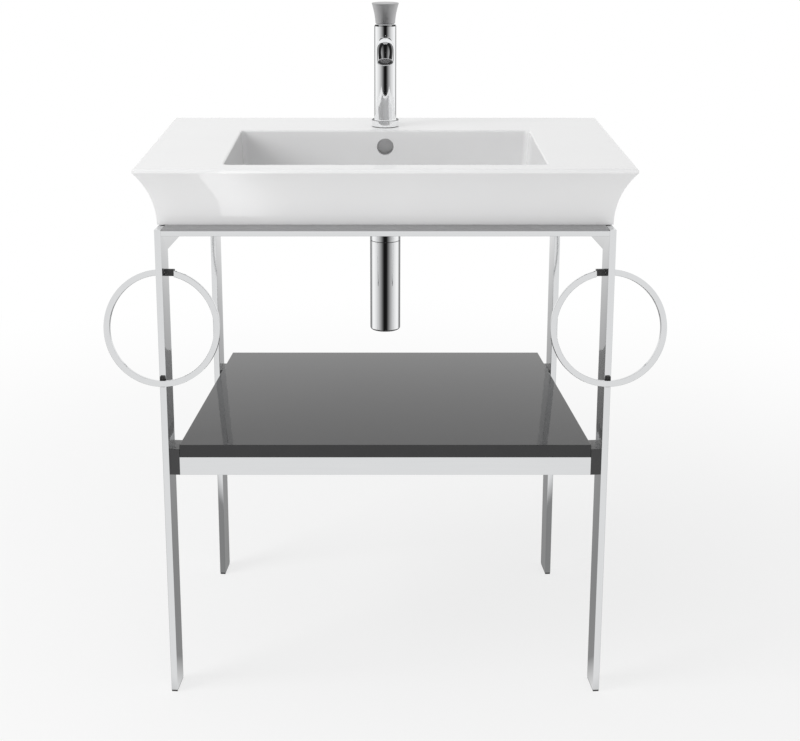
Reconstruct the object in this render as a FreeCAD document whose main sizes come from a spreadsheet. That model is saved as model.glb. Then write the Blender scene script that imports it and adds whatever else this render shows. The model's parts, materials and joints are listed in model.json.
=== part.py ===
"""Vanity basin on a flat-bar console with a shelf, two towel rings, a mixer tap and a bottle trap.

Millimetres. X points right, Y points to the wall, Z points up and the floor is Z = 0.
The origin is on the floor, under the middle of the whole object.
The console narrows towards the wall, so each side frame is drawn square, in its own
directions (inward, back, up), and then turned into place. The right side mirrors the left.
"""
import FreeCAD
import Part
import Sketcher

import math
import operator
import os
from types import SimpleNamespace

from FreeCAD import Placement, Rotation, Vector

SIZES = {
    # Ceramic basin
    "basin_width": 744.0,
    "basin_height": 90.0,
    "rim_height": 850.0,
    "basin_flare": 30.0,
    "lip_height": 6.0,
    "lip_radius": 3.0,
    "basin_wall": 12.0,
    "deck_thickness": 14.0,
    "bowl_length": 484.0,
    "bowl_width": 311.0,
    "bowl_from_front": 38.0,
    "deck_depth": 141.0,
    "bowl_floor": 7.0,
    "bowl_draft": 6.0,
    "bowl_corner_radius": 10.0,
    "bowl_floor_radius": 14.0,
    "bowl_rim_radius": 3.0,
    "back_rib_length": 130.0,
    "back_rib_thickness": 18.0,
    "wall_bolt_spacing": 280.0,
    "wall_bolt_hole": 14.0,
    "wall_bolt_below_rim": 48.0,
    "tap_hole": 35.0,
    "gasket_from_duct": 2.5,
    "waste_hole": 46.0,
    "waste_from_front": 220.0,
    "boss_diameter": 86.0,
    "boss_drop": 12.0,
    "overflow_hole": 28.0,
    "overflow_below_rim": 27.5,
    "overflow_wall": 7.0,
    "overflow_width": 30.0,
    "overflow_duct_depth": 12.0,
    "overflow_channel_height": 8.0,
    # Console of flat bars
    "console_front_width": 685.0,
    "console_toe_in": 37.5,
    "console_from_wall": 18.0,
    "bar_thickness": 10.0,
    "leg_depth": 45.0,
    "side_rail_height": 40.0,
    "rail_height": 8.0,
    "rail_step": 2.0,
    "strip_thickness": 3.0,
    "strip_inset": 0.5,
    "bar_edge_radius": 0.6,
    "glide_thickness": 3.0,
    "glide_inset": 0.5,
    "glide_stem_radius": 2.5,
    "glide_stem_length": 12.0,
    "frame_screw_radius": 2.5,
    "frame_screw_length": 25.0,
    "frame_screw_inset": 16.0,
    "screw_head_share": 2.0,
    "screw_clearance": 0.1,
    # Shelf and its connectors; the shelf's height is its clear height under the basin's skirt
    "shelf_height": 340.0,
    "board_thickness": 20.0,
    "board_edge_radius": 1.0,
    "shelf_rail_height": 29.0,
    "shelf_bar": 10.0,
    "hook_width": 8.0,
    "hanger_width": 8.0,
    "connector_height": 42.0,
    "back_connector_height": 29.0,
    "connector_depth": 41.0,
    "connector_inset": 2.0,
    "connector_edge_radius": 0.8,
    "tongue_depth": 4.0,
    "tongue_width": 12.0,
    "tongue_height": 24.0,
    "tongue_inset": 6.0,
    "tongue_clearance": 0.2,
    "small_screw_radius": 2.0,
    "small_screw_inset": 10.0,
    "hook_screw_grip": 7.0,
    "hanger_screw_grip": 6.0,
    # Towel rings; the pivot's height is counted down from the skirt
    "ring_diameter": 178.0,
    "ring_bar": 9.0,
    "ring_thickness": 8.0,
    "ring_edge_radius": 0.8,
    "ring_pivot_height": 71.5,
    "ring_pivot_depth": 22.5,
    "ring_pin_radius": 3.0,
    "ring_spigot_radius": 2.4,
    "pin_root": 4.0,
    "running_clearance": 0.05,
    "bush_radius": 5.0,
    "bush_flange_radius": 6.5,
    "bush_flange": 1.0,
    "bush_clearance": 0.05,
    "sleeve_length": 13.0,
    "sleeve_section": 10.4,
    "sleeve_edge_radius": 0.6,
    "sleeve_clearance": 0.02,
    "sleeve_screw_radius": 1.5,
    "sleeve_screw_share": 0.25,
    "side_clearance": 0.3,
    "buffer_thickness": 3.0,
    "buffer_width": 8.0,
    "buffer_length": 17.0,
    "buffer_edge_radius": 1.4,
    "buffer_stem_radius": 2.0,
    "buffer_stem_length": 8.0,
    "buffer_gap": 0.3,
    # Mixer tap
    "base_seal_thickness": 0.8,
    "base_ring_diameter": 46.0,
    "base_ring_height": 11.0,
    "base_ring_edge": 1.2,
    "tap_diameter": 37.0,
    "handle_bottom_height": 174.5,
    "handle_height": 34.0,
    "handle_bottom_diameter": 33.2,
    "handle_top_diameter": 45.6,
    "handle_flare_radius": 120.0,
    "handle_edge": 1.2,
    "pivot_below_handle": 16.5,
    "dome_radius": 22.0,
    "dome_gap": 0.4,
    "dome_bore_radius": 11.5,
    "cartridge_radius": 14.9,
    "cartridge_height": 34.0,
    "cartridge_above_pivot": -2.5,
    "cartridge_floor": 15.0,
    "cavity_clearance": 0.1,
    "carrier_radius": 11.0,
    "carrier_lift": 0.2,
    "carrier_above_pivot": 4.5,
    "carrier_slot": 8.6,
    "carrier_slot_below_pivot": 15.5,
    "lever_radius": 4.0,
    "lever_below_pivot": 12.5,
    "lever_socket_depth": 14.0,
    "lever_pin_radius": 2.0,
    "lever_pin_length": 20.0,
    "handle_screw_radius": 2.5,
    "handle_screw_length": 8.0,
    "spout_diameter": 27.4,
    "spout_joint_radius": 4.0,
    "spout_height": 137.0,
    "spout_run": 63.0,
    "spout_bend_radius": 37.0,
    "spout_bend": 57.0,
    "spout_bore": 14.0,
    "aerator_diameter": 24.6,
    "aerator_depth": 10.0,
    "aerator_lip": 1.5,
    "aerator_recess": 1.0,
    "shank_radius": 16.4,
    "shank_bore": 26.4,
    "shank_length": 66.0,
    "shank_grip": 10.0,
    "tail_radius": 4.0,
    "tail_bore": 5.0,
    "tail_spacing": 16.0,
    "tail_grip": 18.0,
    "tail_end_radius": 5.0,
    "tail_end_length": 30.0,
    "tail_below_shank": 35.0,
    "feed_radius": 3.0,
    "deck_gasket_thickness": 3.0,
    "deck_gasket_diameter": 43.0,
    "deck_nut_height": 9.0,
    "deck_nut_diameter": 48.0,
    # Waste and plug
    "waste_tail_radius": 20.9,
    "waste_bore": 38.0,
    "waste_tail_below_nut": 8.0,
    "flange_diameter": 64.0,
    "flange_height": 3.0,
    "flange_edge": 1.0,
    "flange_seal_thickness": 1.0,
    "seal_margin": 0.6,
    "lower_seal_thickness": 3.0,
    "lower_seal_diameter": 62.0,
    "waste_nut_height": 8.0,
    "waste_nut_diameter": 68.0,
    "thread_clearance": 0.15,
    "hub_radius": 8.0,
    "hub_height": 8.0,
    "hub_below_floor": 25.0,
    "spider_width": 6.0,
    "window_width": 16.0,
    "plug_diameter": 54.0,
    "plug_height": 5.0,
    "plug_edge": 1.5,
    "plug_seal_thickness": 2.0,
    "plug_seal_width": 6.0,
    "plug_skirt_radius": 17.5,
    "plug_skirt_height": 4.0,
    "plug_stem_radius": 4.0,
    "plug_stem_below_hub": 14.0,
    "plug_travel": 8.0,
    "clip_radius": 7.0,
    "clip_height": 2.0,
    # Bottle trap; each level is counted down from what is above it: the outlet from the dip tube's
    # flange, the seam from the outlet's stub, the bottom from the seam
    "trap_diameter": 49.0,
    "trap_bottom": 151.0,
    "trap_seam": 2.0,
    "trap_wall": 2.0,
    "trap_floor": 4.0,
    "trap_bottom_radius": 3.0,
    "cup_seal_thickness": 1.0,
    "cup_seal_inset": 0.3,
    "spigot_length": 12.0,
    "spigot_clearance": 0.2,
    "head_gap": 1.0,
    "chamber_bore": 37.0,
    "dip_tube_diameter": 30.0,
    "dip_tube_wall": 1.5,
    "dip_tube_above_floor": 32.0,
    "dip_flange": 2.0,
    "outlet_height": 4.0,
    "outlet_passage": 20.0,
    "outlet_stub_diameter": 36.0,
    "outlet_stub_length": 45.0,
    "outlet_socket_depth": 20.0,
    "pipe_diameter": 32.0,
    "pipe_wall": 1.5,
    "pipe_clearance": 0.2,
    "pipe_past_wall": 14.5,
    "pipe_mark_width": 1.0,
    "pipe_mark_depth": 0.4,
    "outlet_nut_diameter": 44.0,
    "outlet_nut_length": 16.0,
    "outlet_nut_lip": 2.0,
    "outlet_seal_thickness": 2.0,
    "rosette_diameter": 70.0,
    "rosette_height": 8.0,
    "rosette_edge": 3.0,
    # One overrun serves all cuts
    "overrun": 5.0,
}

doc = FreeCAD.newDocument("vanity_basin")
sheet = doc.addObject("Spreadsheet::Sheet", "Sizes")
for row, (alias, number) in enumerate(SIZES.items(), start=1):
    sheet.set(f"A{row}", alias)
    sheet.set(f"B{row}", str(number))
    sheet.setAlias(f"B{row}", alias)
doc.recompute()


class Dim:
    """A size that carries its number and the sheet formula that it comes from."""

    def __init__(self, value, formula):
        self.value = value
        self.formula = formula

    def __add__(self, other):
        return joined(self, "+", other)

    def __radd__(self, other):
        return joined(other, "+", self)

    def __sub__(self, other):
        return joined(self, "-", other)

    def __rsub__(self, other):
        return joined(other, "-", self)

    def __mul__(self, other):
        return joined(self, "*", other)

    def __rmul__(self, other):
        return joined(other, "*", self)

    def __truediv__(self, other):
        return joined(self, "/", other)

    def __neg__(self):
        return Dim(-self.value, f"(0 - {self.formula})")


SUMS = {"+": operator.add, "-": operator.sub, "*": operator.mul, "/": operator.truediv}


def as_dim(number):
    return number if isinstance(number, Dim) else Dim(float(number), str(number))


def joined(left, sign, right):
    left, right = as_dim(left), as_dim(right)
    value = SUMS[sign](left.value, right.value)
    return Dim(value, f"({left.formula} {sign} {right.formula})")


def root(size):
    return Dim(math.sqrt(size.value), f"sqrt({size.formula})")


def sine(angle):
    return Dim(math.sin(math.radians(angle.value)), f"sin({angle.formula})")


def cosine(angle):
    return Dim(math.cos(math.radians(angle.value)), f"cos({angle.formula})")


def arc_sine(share):
    return Dim(math.degrees(math.asin(share.value)), f"asin({share.formula})")


def arc_tangent(share):
    return Dim(math.degrees(math.atan(share.value)), f"atan({share.formula})")


def other_leg(long_side, short_side):
    """The third side of a right triangle, as on a circle of radius long_side."""
    return root(long_side * long_side - short_side * short_side)


S = SimpleNamespace(**{alias: Dim(sheet.get(alias), f"Sizes.{alias}") for alias in SIZES})
nodes = {}

# Helpers that draw one object each and tie its sizes to the sheet

AXES = {
    "x": Rotation(Vector(0, 1, 0), 90),
    "-x": Rotation(Vector(0, 1, 0), -90),
    "y": Rotation(Vector(1, 0, 0), -90),
    "-y": Rotation(Vector(1, 0, 0), 90),
    "z": Rotation(),
}
ORIGIN = (0, 0, 0)
MATCH = 1e-3


def bind(thing, path, size):
    thing.setExpression(path, as_dim(size).formula)


def put(thing, at, axis="z"):
    """Turn a thing's own Z to an axis, and tie its place to the sheet."""
    thing.Placement = Placement(Vector(), AXES[axis])
    for letter, size in zip("xyz", at):
        if isinstance(size, Dim):
            bind(thing, f"Placement.Base.{letter}", size)
    return thing


def turn(thing, axis, angle, at):
    """Turn a thing about an axis through its own origin, and put that origin at a place."""
    thing.Placement = Placement(Vector(), Rotation(axis, angle.value))
    bind(thing, "Placement.Rotation.Angle", angle)
    for letter, size in zip("xyz", at):
        if isinstance(size, Dim):
            bind(thing, f"Placement.Base.{letter}", size)
    return thing


def box(name, sizes, at):
    thing = doc.addObject("Part::Box", name)
    for side, size in zip(("Length", "Width", "Height"), sizes):
        bind(thing, side, size)
    return put(thing, at)


def rod(name, radius, length, at=ORIGIN, axis="z"):
    thing = doc.addObject("Part::Cylinder", name)
    bind(thing, "Radius", radius)
    bind(thing, "Height", length)
    return put(thing, at, axis)


def hexagon(name, diameter, height, at):
    thing = doc.addObject("Part::Prism", name)
    thing.Polygon = 6
    bind(thing, "Circumradius", diameter / 2)
    bind(thing, "Height", height)
    return put(thing, at)


def arc_middle(start, end, radius):
    """The middle of an arc: a positive radius bulges to the right of the way from start to end."""
    chord = end - start
    sag = abs(radius) - math.sqrt(radius ** 2 - (chord.Length / 2) ** 2)
    side = Vector(chord.y, -chord.x, 0).normalize()
    return (start + end) * 0.5 + side * math.copysign(sag, radius)


def outline(body, plane, points):
    """Sketch a closed outline on an origin plane of the body.

    A point is (across, up), or (across, up, radius) where an arc leads to the next point.
    """
    sketch = body.newObject("Sketcher::SketchObject", body.Name + "_outline")
    support = [p for p in body.Origin.OriginFeatures if p.Role == plane][0]
    sketch.AttachmentSupport = (support, [""])
    sketch.MapMode = "FlatFace"
    corners = [Vector(as_dim(p[0]).value, as_dim(p[1]).value, 0) for p in points]
    starts, ends = [], []
    for i, point in enumerate(points):
        here, there = corners[i], corners[(i + 1) % len(points)]
        if len(point) == 2:
            sketch.addGeometry(Part.LineSegment(here, there), False)
            backwards = False
        else:
            middle = arc_middle(here, there, point[2].value)
            sketch.addGeometry(Part.Arc(here, middle, there), False)
            backwards = (middle - here).cross(there - middle).z < 0
        starts.append(2 if backwards else 1)
        ends.append(1 if backwards else 2)
    for i in range(len(points)):
        following = (i + 1) % len(points)
        sketch.addConstraint(Sketcher.Constraint("Coincident", i, ends[i], following, starts[following]))
    for i, point in enumerate(points):
        for kind, size in zip(("DistanceX", "DistanceY"), point):
            size = as_dim(size)
            number = sketch.addConstraint(Sketcher.Constraint(kind, -1, 1, i, starts[i], size.value))
            bind(sketch, f"Constraints[{number}]", size)
        if len(point) == 3:
            radius = point[2] if point[2].value > 0 else -point[2]
            number = sketch.addConstraint(Sketcher.Constraint("Radius", i, radius.value))
            bind(sketch, f"Constraints[{number}]", radius)
    return sketch


def prism(name, plane, points, length, at=ORIGIN, edge_radius=None, rounded=None):
    """Pad an outline along its plane's own direction, and round the edges that rounded() picks."""
    body = doc.addObject("PartDesign::Body", name)
    pad = body.newObject("PartDesign::Pad", name + "_pad")
    pad.Profile = outline(body, plane, points)
    bind(pad, "Length", length)
    put(body, at)
    if edge_radius is not None:
        doc.recompute()
        fillet = body.newObject("PartDesign::Fillet", name + "_fillet")
        names = [f"Edge{i}" for i, edge in enumerate(pad.Shape.Edges, start=1) if rounded(edge)]
        fillet.Base = (pad, names)
        bind(fillet, "Radius", edge_radius)
    return body


def turned(name, points, at=ORIGIN, axis="z"):
    """Turn an outline of (radius, height) points about its own Z."""
    body = doc.addObject("PartDesign::Body", name)
    turn = body.newObject("PartDesign::Revolution", name + "_turn")
    sketch = outline(body, "XZ_Plane", points)
    turn.Profile = sketch
    turn.ReferenceAxis = (sketch, ["V_Axis"])
    turn.Angle = 360
    return put(body, at, axis)


def ring(name, inner, outer, low, high, at=ORIGIN, axis="z"):
    return turned(name, [(inner, low), (outer, low), (outer, high), (inner, high)], at, axis)


def fuse(name, *things):
    thing = doc.addObject("Part::MultiFuse", name)
    thing.Shapes = list(things)
    return thing


def cut(name, base, *tools):
    thing = doc.addObject("Part::Cut", name)
    thing.Base = base
    thing.Tool = tools[0] if len(tools) == 1 else fuse(name + "_tools", *tools)
    return thing


def group(name, *things):
    thing = doc.addObject("Part::Compound", name)
    thing.Links = list(things)
    return thing


def mirrored(name, source):
    thing = doc.addObject("Part::Mirroring", name)
    thing.Source = source
    thing.Normal = Vector(1, 0, 0)
    return thing


def round_edges(name, base, radius, chosen):
    """Round the edges of a finished shape that chosen() picks."""
    doc.recompute()
    thing = doc.addObject("Part::Fillet", name)
    thing.Base = base
    found = [i for i, edge in enumerate(base.Shape.Edges, start=1) if chosen(edge)]
    thing.Edges = [(i, radius.value, radius.value) for i in found]
    return thing


def node(label, thing):
    thing.Label = label
    nodes[label] = thing
    return thing


def along(axis):
    """Pick the straight edges that run along a direction."""
    def runs(edge):
        way = edge.Vertexes[-1].Point - edge.Vertexes[0].Point
        return way.Length > 0 and way.normalize().cross(axis).Length < MATCH
    return runs


def at_height(edge, height):
    """Tell whether an edge lies level at a height."""
    return abs(edge.BoundBox.ZMin - height.value) < MATCH and abs(edge.BoundBox.ZMax - height.value) < MATCH


# Levels and places that several pieces share

basin_depth = S.bowl_from_front + S.bowl_width + S.deck_depth
console_depth = basin_depth - S.console_from_wall
front_y = -basin_depth / 2
wall_y = basin_depth / 2
rim_z = S.rim_height
skirt_z = rim_z - S.basin_height
bowl_floor_z = skirt_z + S.bowl_floor
deck_under_z = rim_z - S.deck_thickness
bowl_front_y = front_y + S.bowl_from_front
bowl_back_y = bowl_front_y + S.bowl_width
duct_front_y = bowl_back_y + S.overflow_wall
duct_back_y = duct_front_y + S.overflow_duct_depth
tap_y = duct_back_y + S.overflow_wall + S.gasket_from_duct + S.deck_gasket_diameter / 2
waste_y = front_y + S.waste_from_front
boss_bottom_z = skirt_z - S.boss_drop

# Ceramic basin

half_width = S.basin_width / 2
skirt_half = half_width - S.basin_flare
flare_height = S.basin_height - S.lip_height
flare_radius = (flare_height * flare_height + S.basin_flare * S.basin_flare) / (2 * S.basin_flare)
lip_z = rim_z - S.lip_height

side_shape = prism("side_shape", "XZ_Plane", [
    (skirt_half, skirt_z, -flare_radius),
    (half_width, lip_z),
    (half_width, rim_z),
    (-half_width, rim_z),
    (-half_width, lip_z, -flare_radius),
    (-skirt_half, skirt_z),
], basin_depth, (0, wall_y, 0))
front_shape = prism("front_shape", "YZ_Plane", [
    (front_y + S.basin_flare, skirt_z),
    (wall_y, skirt_z),
    (wall_y, rim_z),
    (front_y, rim_z),
    (front_y, lip_z, -flare_radius),
], S.basin_width, (-half_width, 0, 0))
basin_block = doc.addObject("Part::Common", "basin_block")
basin_block.Base = side_shape
basin_block.Tool = front_shape

bowl = doc.addObject("Part::Wedge", "bowl")
bind(bowl, "Xmin", -S.bowl_length / 2 + S.bowl_draft)
bind(bowl, "Xmax", S.bowl_length / 2 - S.bowl_draft)
bind(bowl, "X2min", -S.bowl_length / 2)
bind(bowl, "X2max", S.bowl_length / 2)
bind(bowl, "Zmin", -bowl_back_y + S.bowl_draft)
bind(bowl, "Zmax", -bowl_front_y - S.bowl_draft)
bind(bowl, "Z2min", -bowl_back_y)
bind(bowl, "Z2max", -bowl_front_y)
bind(bowl, "Ymin", bowl_floor_z)
bind(bowl, "Ymax", rim_z)
bowl.Placement = Placement(Vector(), Rotation(Vector(1, 0, 0), 90))
bowl_corners = round_edges("bowl_corners", bowl, S.bowl_corner_radius,
                           lambda edge: edge.BoundBox.ZLength > (rim_z - bowl_floor_z).value / 2)
bowl_rounded = round_edges("bowl_rounded", bowl_corners, S.bowl_floor_radius,
                           lambda edge: at_height(edge, bowl_floor_z))

hollow_half = skirt_half - S.basin_wall
hollow_front_y = front_y + S.basin_flare + S.basin_wall
hollow_back_y = wall_y - S.basin_wall
bowl_outer_half = S.bowl_length / 2 + S.basin_wall
bowl_outer_back_y = bowl_back_y + S.basin_wall
hollow = prism("hollow", "XY_Plane", [
    (-hollow_half, hollow_front_y),
    (-bowl_outer_half, hollow_front_y),
    (-bowl_outer_half, bowl_outer_back_y),
    (bowl_outer_half, bowl_outer_back_y),
    (bowl_outer_half, hollow_front_y),
    (hollow_half, hollow_front_y),
    (hollow_half, hollow_back_y),
    (-hollow_half, hollow_back_y),
], deck_under_z - skirt_z + S.overrun, (0, 0, skirt_z - S.overrun))
basin_shell = cut("basin_shell", basin_block, bowl_rounded, hollow)

# Two ribs in the hollow stand on the console's back rail
back_rail_y = front_y + console_depth - S.leg_depth
rib_y = back_rail_y + (S.leg_depth - S.back_rib_thickness) / 2
rib_sizes = (S.back_rib_length, S.back_rib_thickness, deck_under_z - skirt_z)
rib_left = box("rib_left", rib_sizes, (-hollow_half, rib_y, skirt_z))
rib_right = box("rib_right", rib_sizes, (hollow_half - S.back_rib_length, rib_y, skirt_z))

# The overflow runs down a duct behind the bowl and under its floor to the waste
duct_half = S.overflow_width / 2 + S.overflow_wall
channel_z = skirt_z - S.overflow_channel_height
duct = box("duct", (2 * duct_half, S.overflow_duct_depth + S.overflow_wall, deck_under_z - boss_bottom_z),
           (-duct_half, duct_front_y, boss_bottom_z))
duct_floor = box("duct_floor", (2 * duct_half, duct_back_y + S.overflow_wall - waste_y, S.boss_drop),
                 (-duct_half, waste_y, boss_bottom_z))
boss = rod("boss", S.boss_diameter / 2, S.boss_drop, (0, waste_y, boss_bottom_z))
duct_way = box("duct_way", (S.overflow_width, S.overflow_duct_depth, deck_under_z - channel_z),
               (-S.overflow_width / 2, duct_front_y, channel_z))
floor_way = box("floor_way", (S.overflow_width, duct_back_y - waste_y, S.overflow_channel_height),
                (-S.overflow_width / 2, waste_y, channel_z))
overflow_z = rim_z - S.overflow_below_rim
overflow_way = rod("overflow_way", S.overflow_hole / 2, duct_back_y - bowl_back_y + S.bowl_draft,
                   (0, bowl_back_y - S.bowl_draft, overflow_z), "y")
waste_way = rod("waste_way", S.waste_hole / 2, bowl_floor_z - boss_bottom_z + 2 * S.overrun,
                (0, waste_y, boss_bottom_z - S.overrun))
tap_way = rod("tap_way", S.tap_hole / 2, S.deck_thickness + 2 * S.overrun,
              (0, tap_y, deck_under_z - S.overrun))
wall_bolt_z = rim_z - S.wall_bolt_below_rim
wall_ways = [
    rod(f"wall_way_{side}", S.wall_bolt_hole / 2, S.basin_wall + 2 * S.overrun,
        (x, hollow_back_y - S.overrun, wall_bolt_z), "y")
    for side, x in (("left", -S.wall_bolt_spacing / 2), ("right", S.wall_bolt_spacing / 2))
]
basin_cast = fuse("basin_cast", basin_shell, rib_left, rib_right, duct, duct_floor, boss)
basin_ways = [duct_way, floor_way, overflow_way, waste_way, tap_way, *wall_ways]
basin_bored = cut("basin_bored", basin_cast, *basin_ways)


def on_bowl_rim(edge):
    inside_x = max(abs(edge.BoundBox.XMin), abs(edge.BoundBox.XMax)) < half_width.value - S.basin_wall.value
    before_tap = edge.BoundBox.YMax < (tap_y - S.tap_hole / 2).value
    return at_height(edge, rim_z) and inside_x and before_tap


def on_lip(edge):
    on_side = min(abs(edge.BoundBox.XMin), abs(edge.BoundBox.XMax)) > half_width.value - S.lip_radius.value
    on_front = edge.BoundBox.YMax < front_y.value + S.lip_radius.value
    return at_height(edge, rim_z) and (on_side or on_front)


basin_rim = round_edges("basin_rim", basin_bored, S.bowl_rim_radius, on_bowl_rim)
node("basin", round_edges("basin_lip", basin_rim, S.lip_radius, on_lip))

# Side frames: each is drawn square at the origin as (inward, back, up)

console_half = S.console_front_width / 2
taper = S.console_toe_in / console_depth
slant = root(1 + taper * taper)
frame_run = console_depth * slant

rail_top_z = skirt_z - S.strip_thickness
frame_top_z = rail_top_z + S.rail_step
rail_z = rail_top_z - S.rail_height
mitre_z = frame_top_z - S.side_rail_height
leg_foot_z = S.glide_thickness
back_leg_v = frame_run - S.leg_depth
shelf_bottom_z = skirt_z - S.shelf_height - S.board_thickness - S.shelf_rail_height


def to_left(thing):
    """Turn a piece that is drawn square into the left side frame, which toes in to the back."""
    return turn(thing, Vector(0, 0, -1), arc_tangent(taper), (-console_half, front_y, 0))


def side_pair(label, thing):
    """Set a piece of the left side frame in place and mirror it to the right."""
    left = node(label + "_left", to_left(thing))
    return left, node(label + "_right", mirrored(label + "_mirror", left))


def both_sides(label, *things):
    """Small parts of both side frames, as one group of separate solids."""
    left = to_left(group(label + "_left_group", *things))
    return node(label, group(label, left, mirrored(label + "_right_group", left)))


def screw(name, radius, length, at, axis):
    """A countersunk screw whose head is flush with its start."""
    head_radius = S.screw_head_share * radius
    return turned(name, [
        (0, 0),
        (head_radius, 0),
        (radius, head_radius - radius),
        (radius, length),
        (0, length),
    ], at, axis)


def screw_way(name, radius, length, at, axis):
    """The countersunk hole for such a screw."""
    way_radius = radius + S.screw_clearance
    head_radius = S.screw_head_share * radius + S.screw_clearance
    return turned(name, [
        (0, -S.overrun),
        (head_radius, -S.overrun),
        (head_radius, 0),
        (way_radius, head_radius - way_radius),
        (way_radius, length + S.screw_clearance),
        (0, length + S.screw_clearance),
    ], at, axis)


long_z = along(Vector(0, 0, 1))
long_y = along(Vector(0, 1, 0))
long_x = along(Vector(1, 0, 0))

front_leg_bar = prism("front_leg_bar", "YZ_Plane", [
    (0, leg_foot_z), (S.leg_depth, leg_foot_z), (S.leg_depth, mitre_z), (0, frame_top_z),
], S.bar_thickness, ORIGIN, S.bar_edge_radius, long_z)
back_leg_bar = prism("back_leg_bar", "YZ_Plane", [
    (back_leg_v, leg_foot_z), (frame_run, leg_foot_z), (frame_run, frame_top_z), (back_leg_v, mitre_z),
], S.bar_thickness, ORIGIN, S.bar_edge_radius, long_z)
side_rail_bar = prism("side_rail_bar", "YZ_Plane", [
    (0, frame_top_z), (S.leg_depth, mitre_z), (back_leg_v, mitre_z), (frame_run, frame_top_z),
], S.bar_thickness, ORIGIN, S.bar_edge_radius, long_y)

# Frame screws enter from the outer face of the side rails and end in the cross rails

frame_screw_z = rail_z + S.rail_height / 2
frame_screw_places = [
    S.frame_screw_inset,
    S.leg_depth - S.frame_screw_inset,
    back_leg_v + S.frame_screw_inset,
    frame_run - S.frame_screw_inset,
]
frame_screws, frame_screw_ways = [], []
for number, v in enumerate(frame_screw_places):
    at = (0, v, frame_screw_z)
    sizes = (S.frame_screw_radius, S.frame_screw_length, at, "x")
    frame_screws.append(screw(f"frame_screw_{number}", *sizes))
    frame_screw_ways.append(screw_way(f"frame_screw_way_{number}", *sizes))
side_pair("side_rail", cut("side_rail", side_rail_bar, *frame_screw_ways))
both_sides("frame_screws", *frame_screws)
ways_left = to_left(group("frame_ways_left", *frame_screw_ways))
ways_right = mirrored("frame_ways_right", ways_left)


def inner_half(y):
    """Half the room between the side frames at a depth."""
    return console_half - S.bar_thickness * slant - (y - front_y) * taper


def trapezium(front, back, inset, half_at):
    """A plan that follows the taper between two depths."""
    return [
        (inset - half_at(front), front),
        (half_at(front) - inset, front),
        (half_at(back) - inset, back),
        (inset - half_at(back), back),
    ]


back_end_y = front_y + console_depth
rail_spans = {"front": (front_y, front_y + S.leg_depth), "back": (back_rail_y, back_end_y)}
strips = []
for place, (low_y, high_y) in rail_spans.items():
    bar = prism(f"{place}_rail_bar", "XY_Plane", trapezium(low_y, high_y, 0, inner_half),
                S.rail_height, (0, 0, rail_z), S.bar_edge_radius, long_x)
    node(f"{place}_rail", cut(f"{place}_rail_drilled", bar, ways_left, ways_right))
    strips.append(prism(f"{place}_strip", "XY_Plane",
                        trapezium(low_y + S.strip_inset, high_y - S.strip_inset, S.strip_inset, inner_half),
                        S.strip_thickness, (0, 0, rail_top_z)))
node("bedding_strips", group("bedding_strips", *strips))

# Glides: a thin pad under each leg with a stem in the leg's end

glides, glide_ways = [], []
for place, v in (("front", 0), ("back", back_leg_v)):
    middle = (S.bar_thickness / 2, v + S.leg_depth / 2)
    pad = box(f"{place}_glide_pad",
              (S.bar_thickness - 2 * S.glide_inset, S.leg_depth - 2 * S.glide_inset, S.glide_thickness),
              (S.glide_inset, v + S.glide_inset, 0))
    stem_top = S.glide_thickness + S.glide_stem_length
    stem = rod(f"{place}_glide_stem", S.glide_stem_radius, stem_top, (*middle, 0))
    glides.append(fuse(f"{place}_glide", pad, stem))
    glide_ways.append(rod(f"{place}_glide_way", S.glide_stem_radius + S.screw_clearance,
                          stem_top + S.screw_clearance, (*middle, 0)))
both_sides("leg_glides", *glides)

# Shelf connectors: a hook on each leg, and a hanger on the shelf that drops over its tongue

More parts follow.
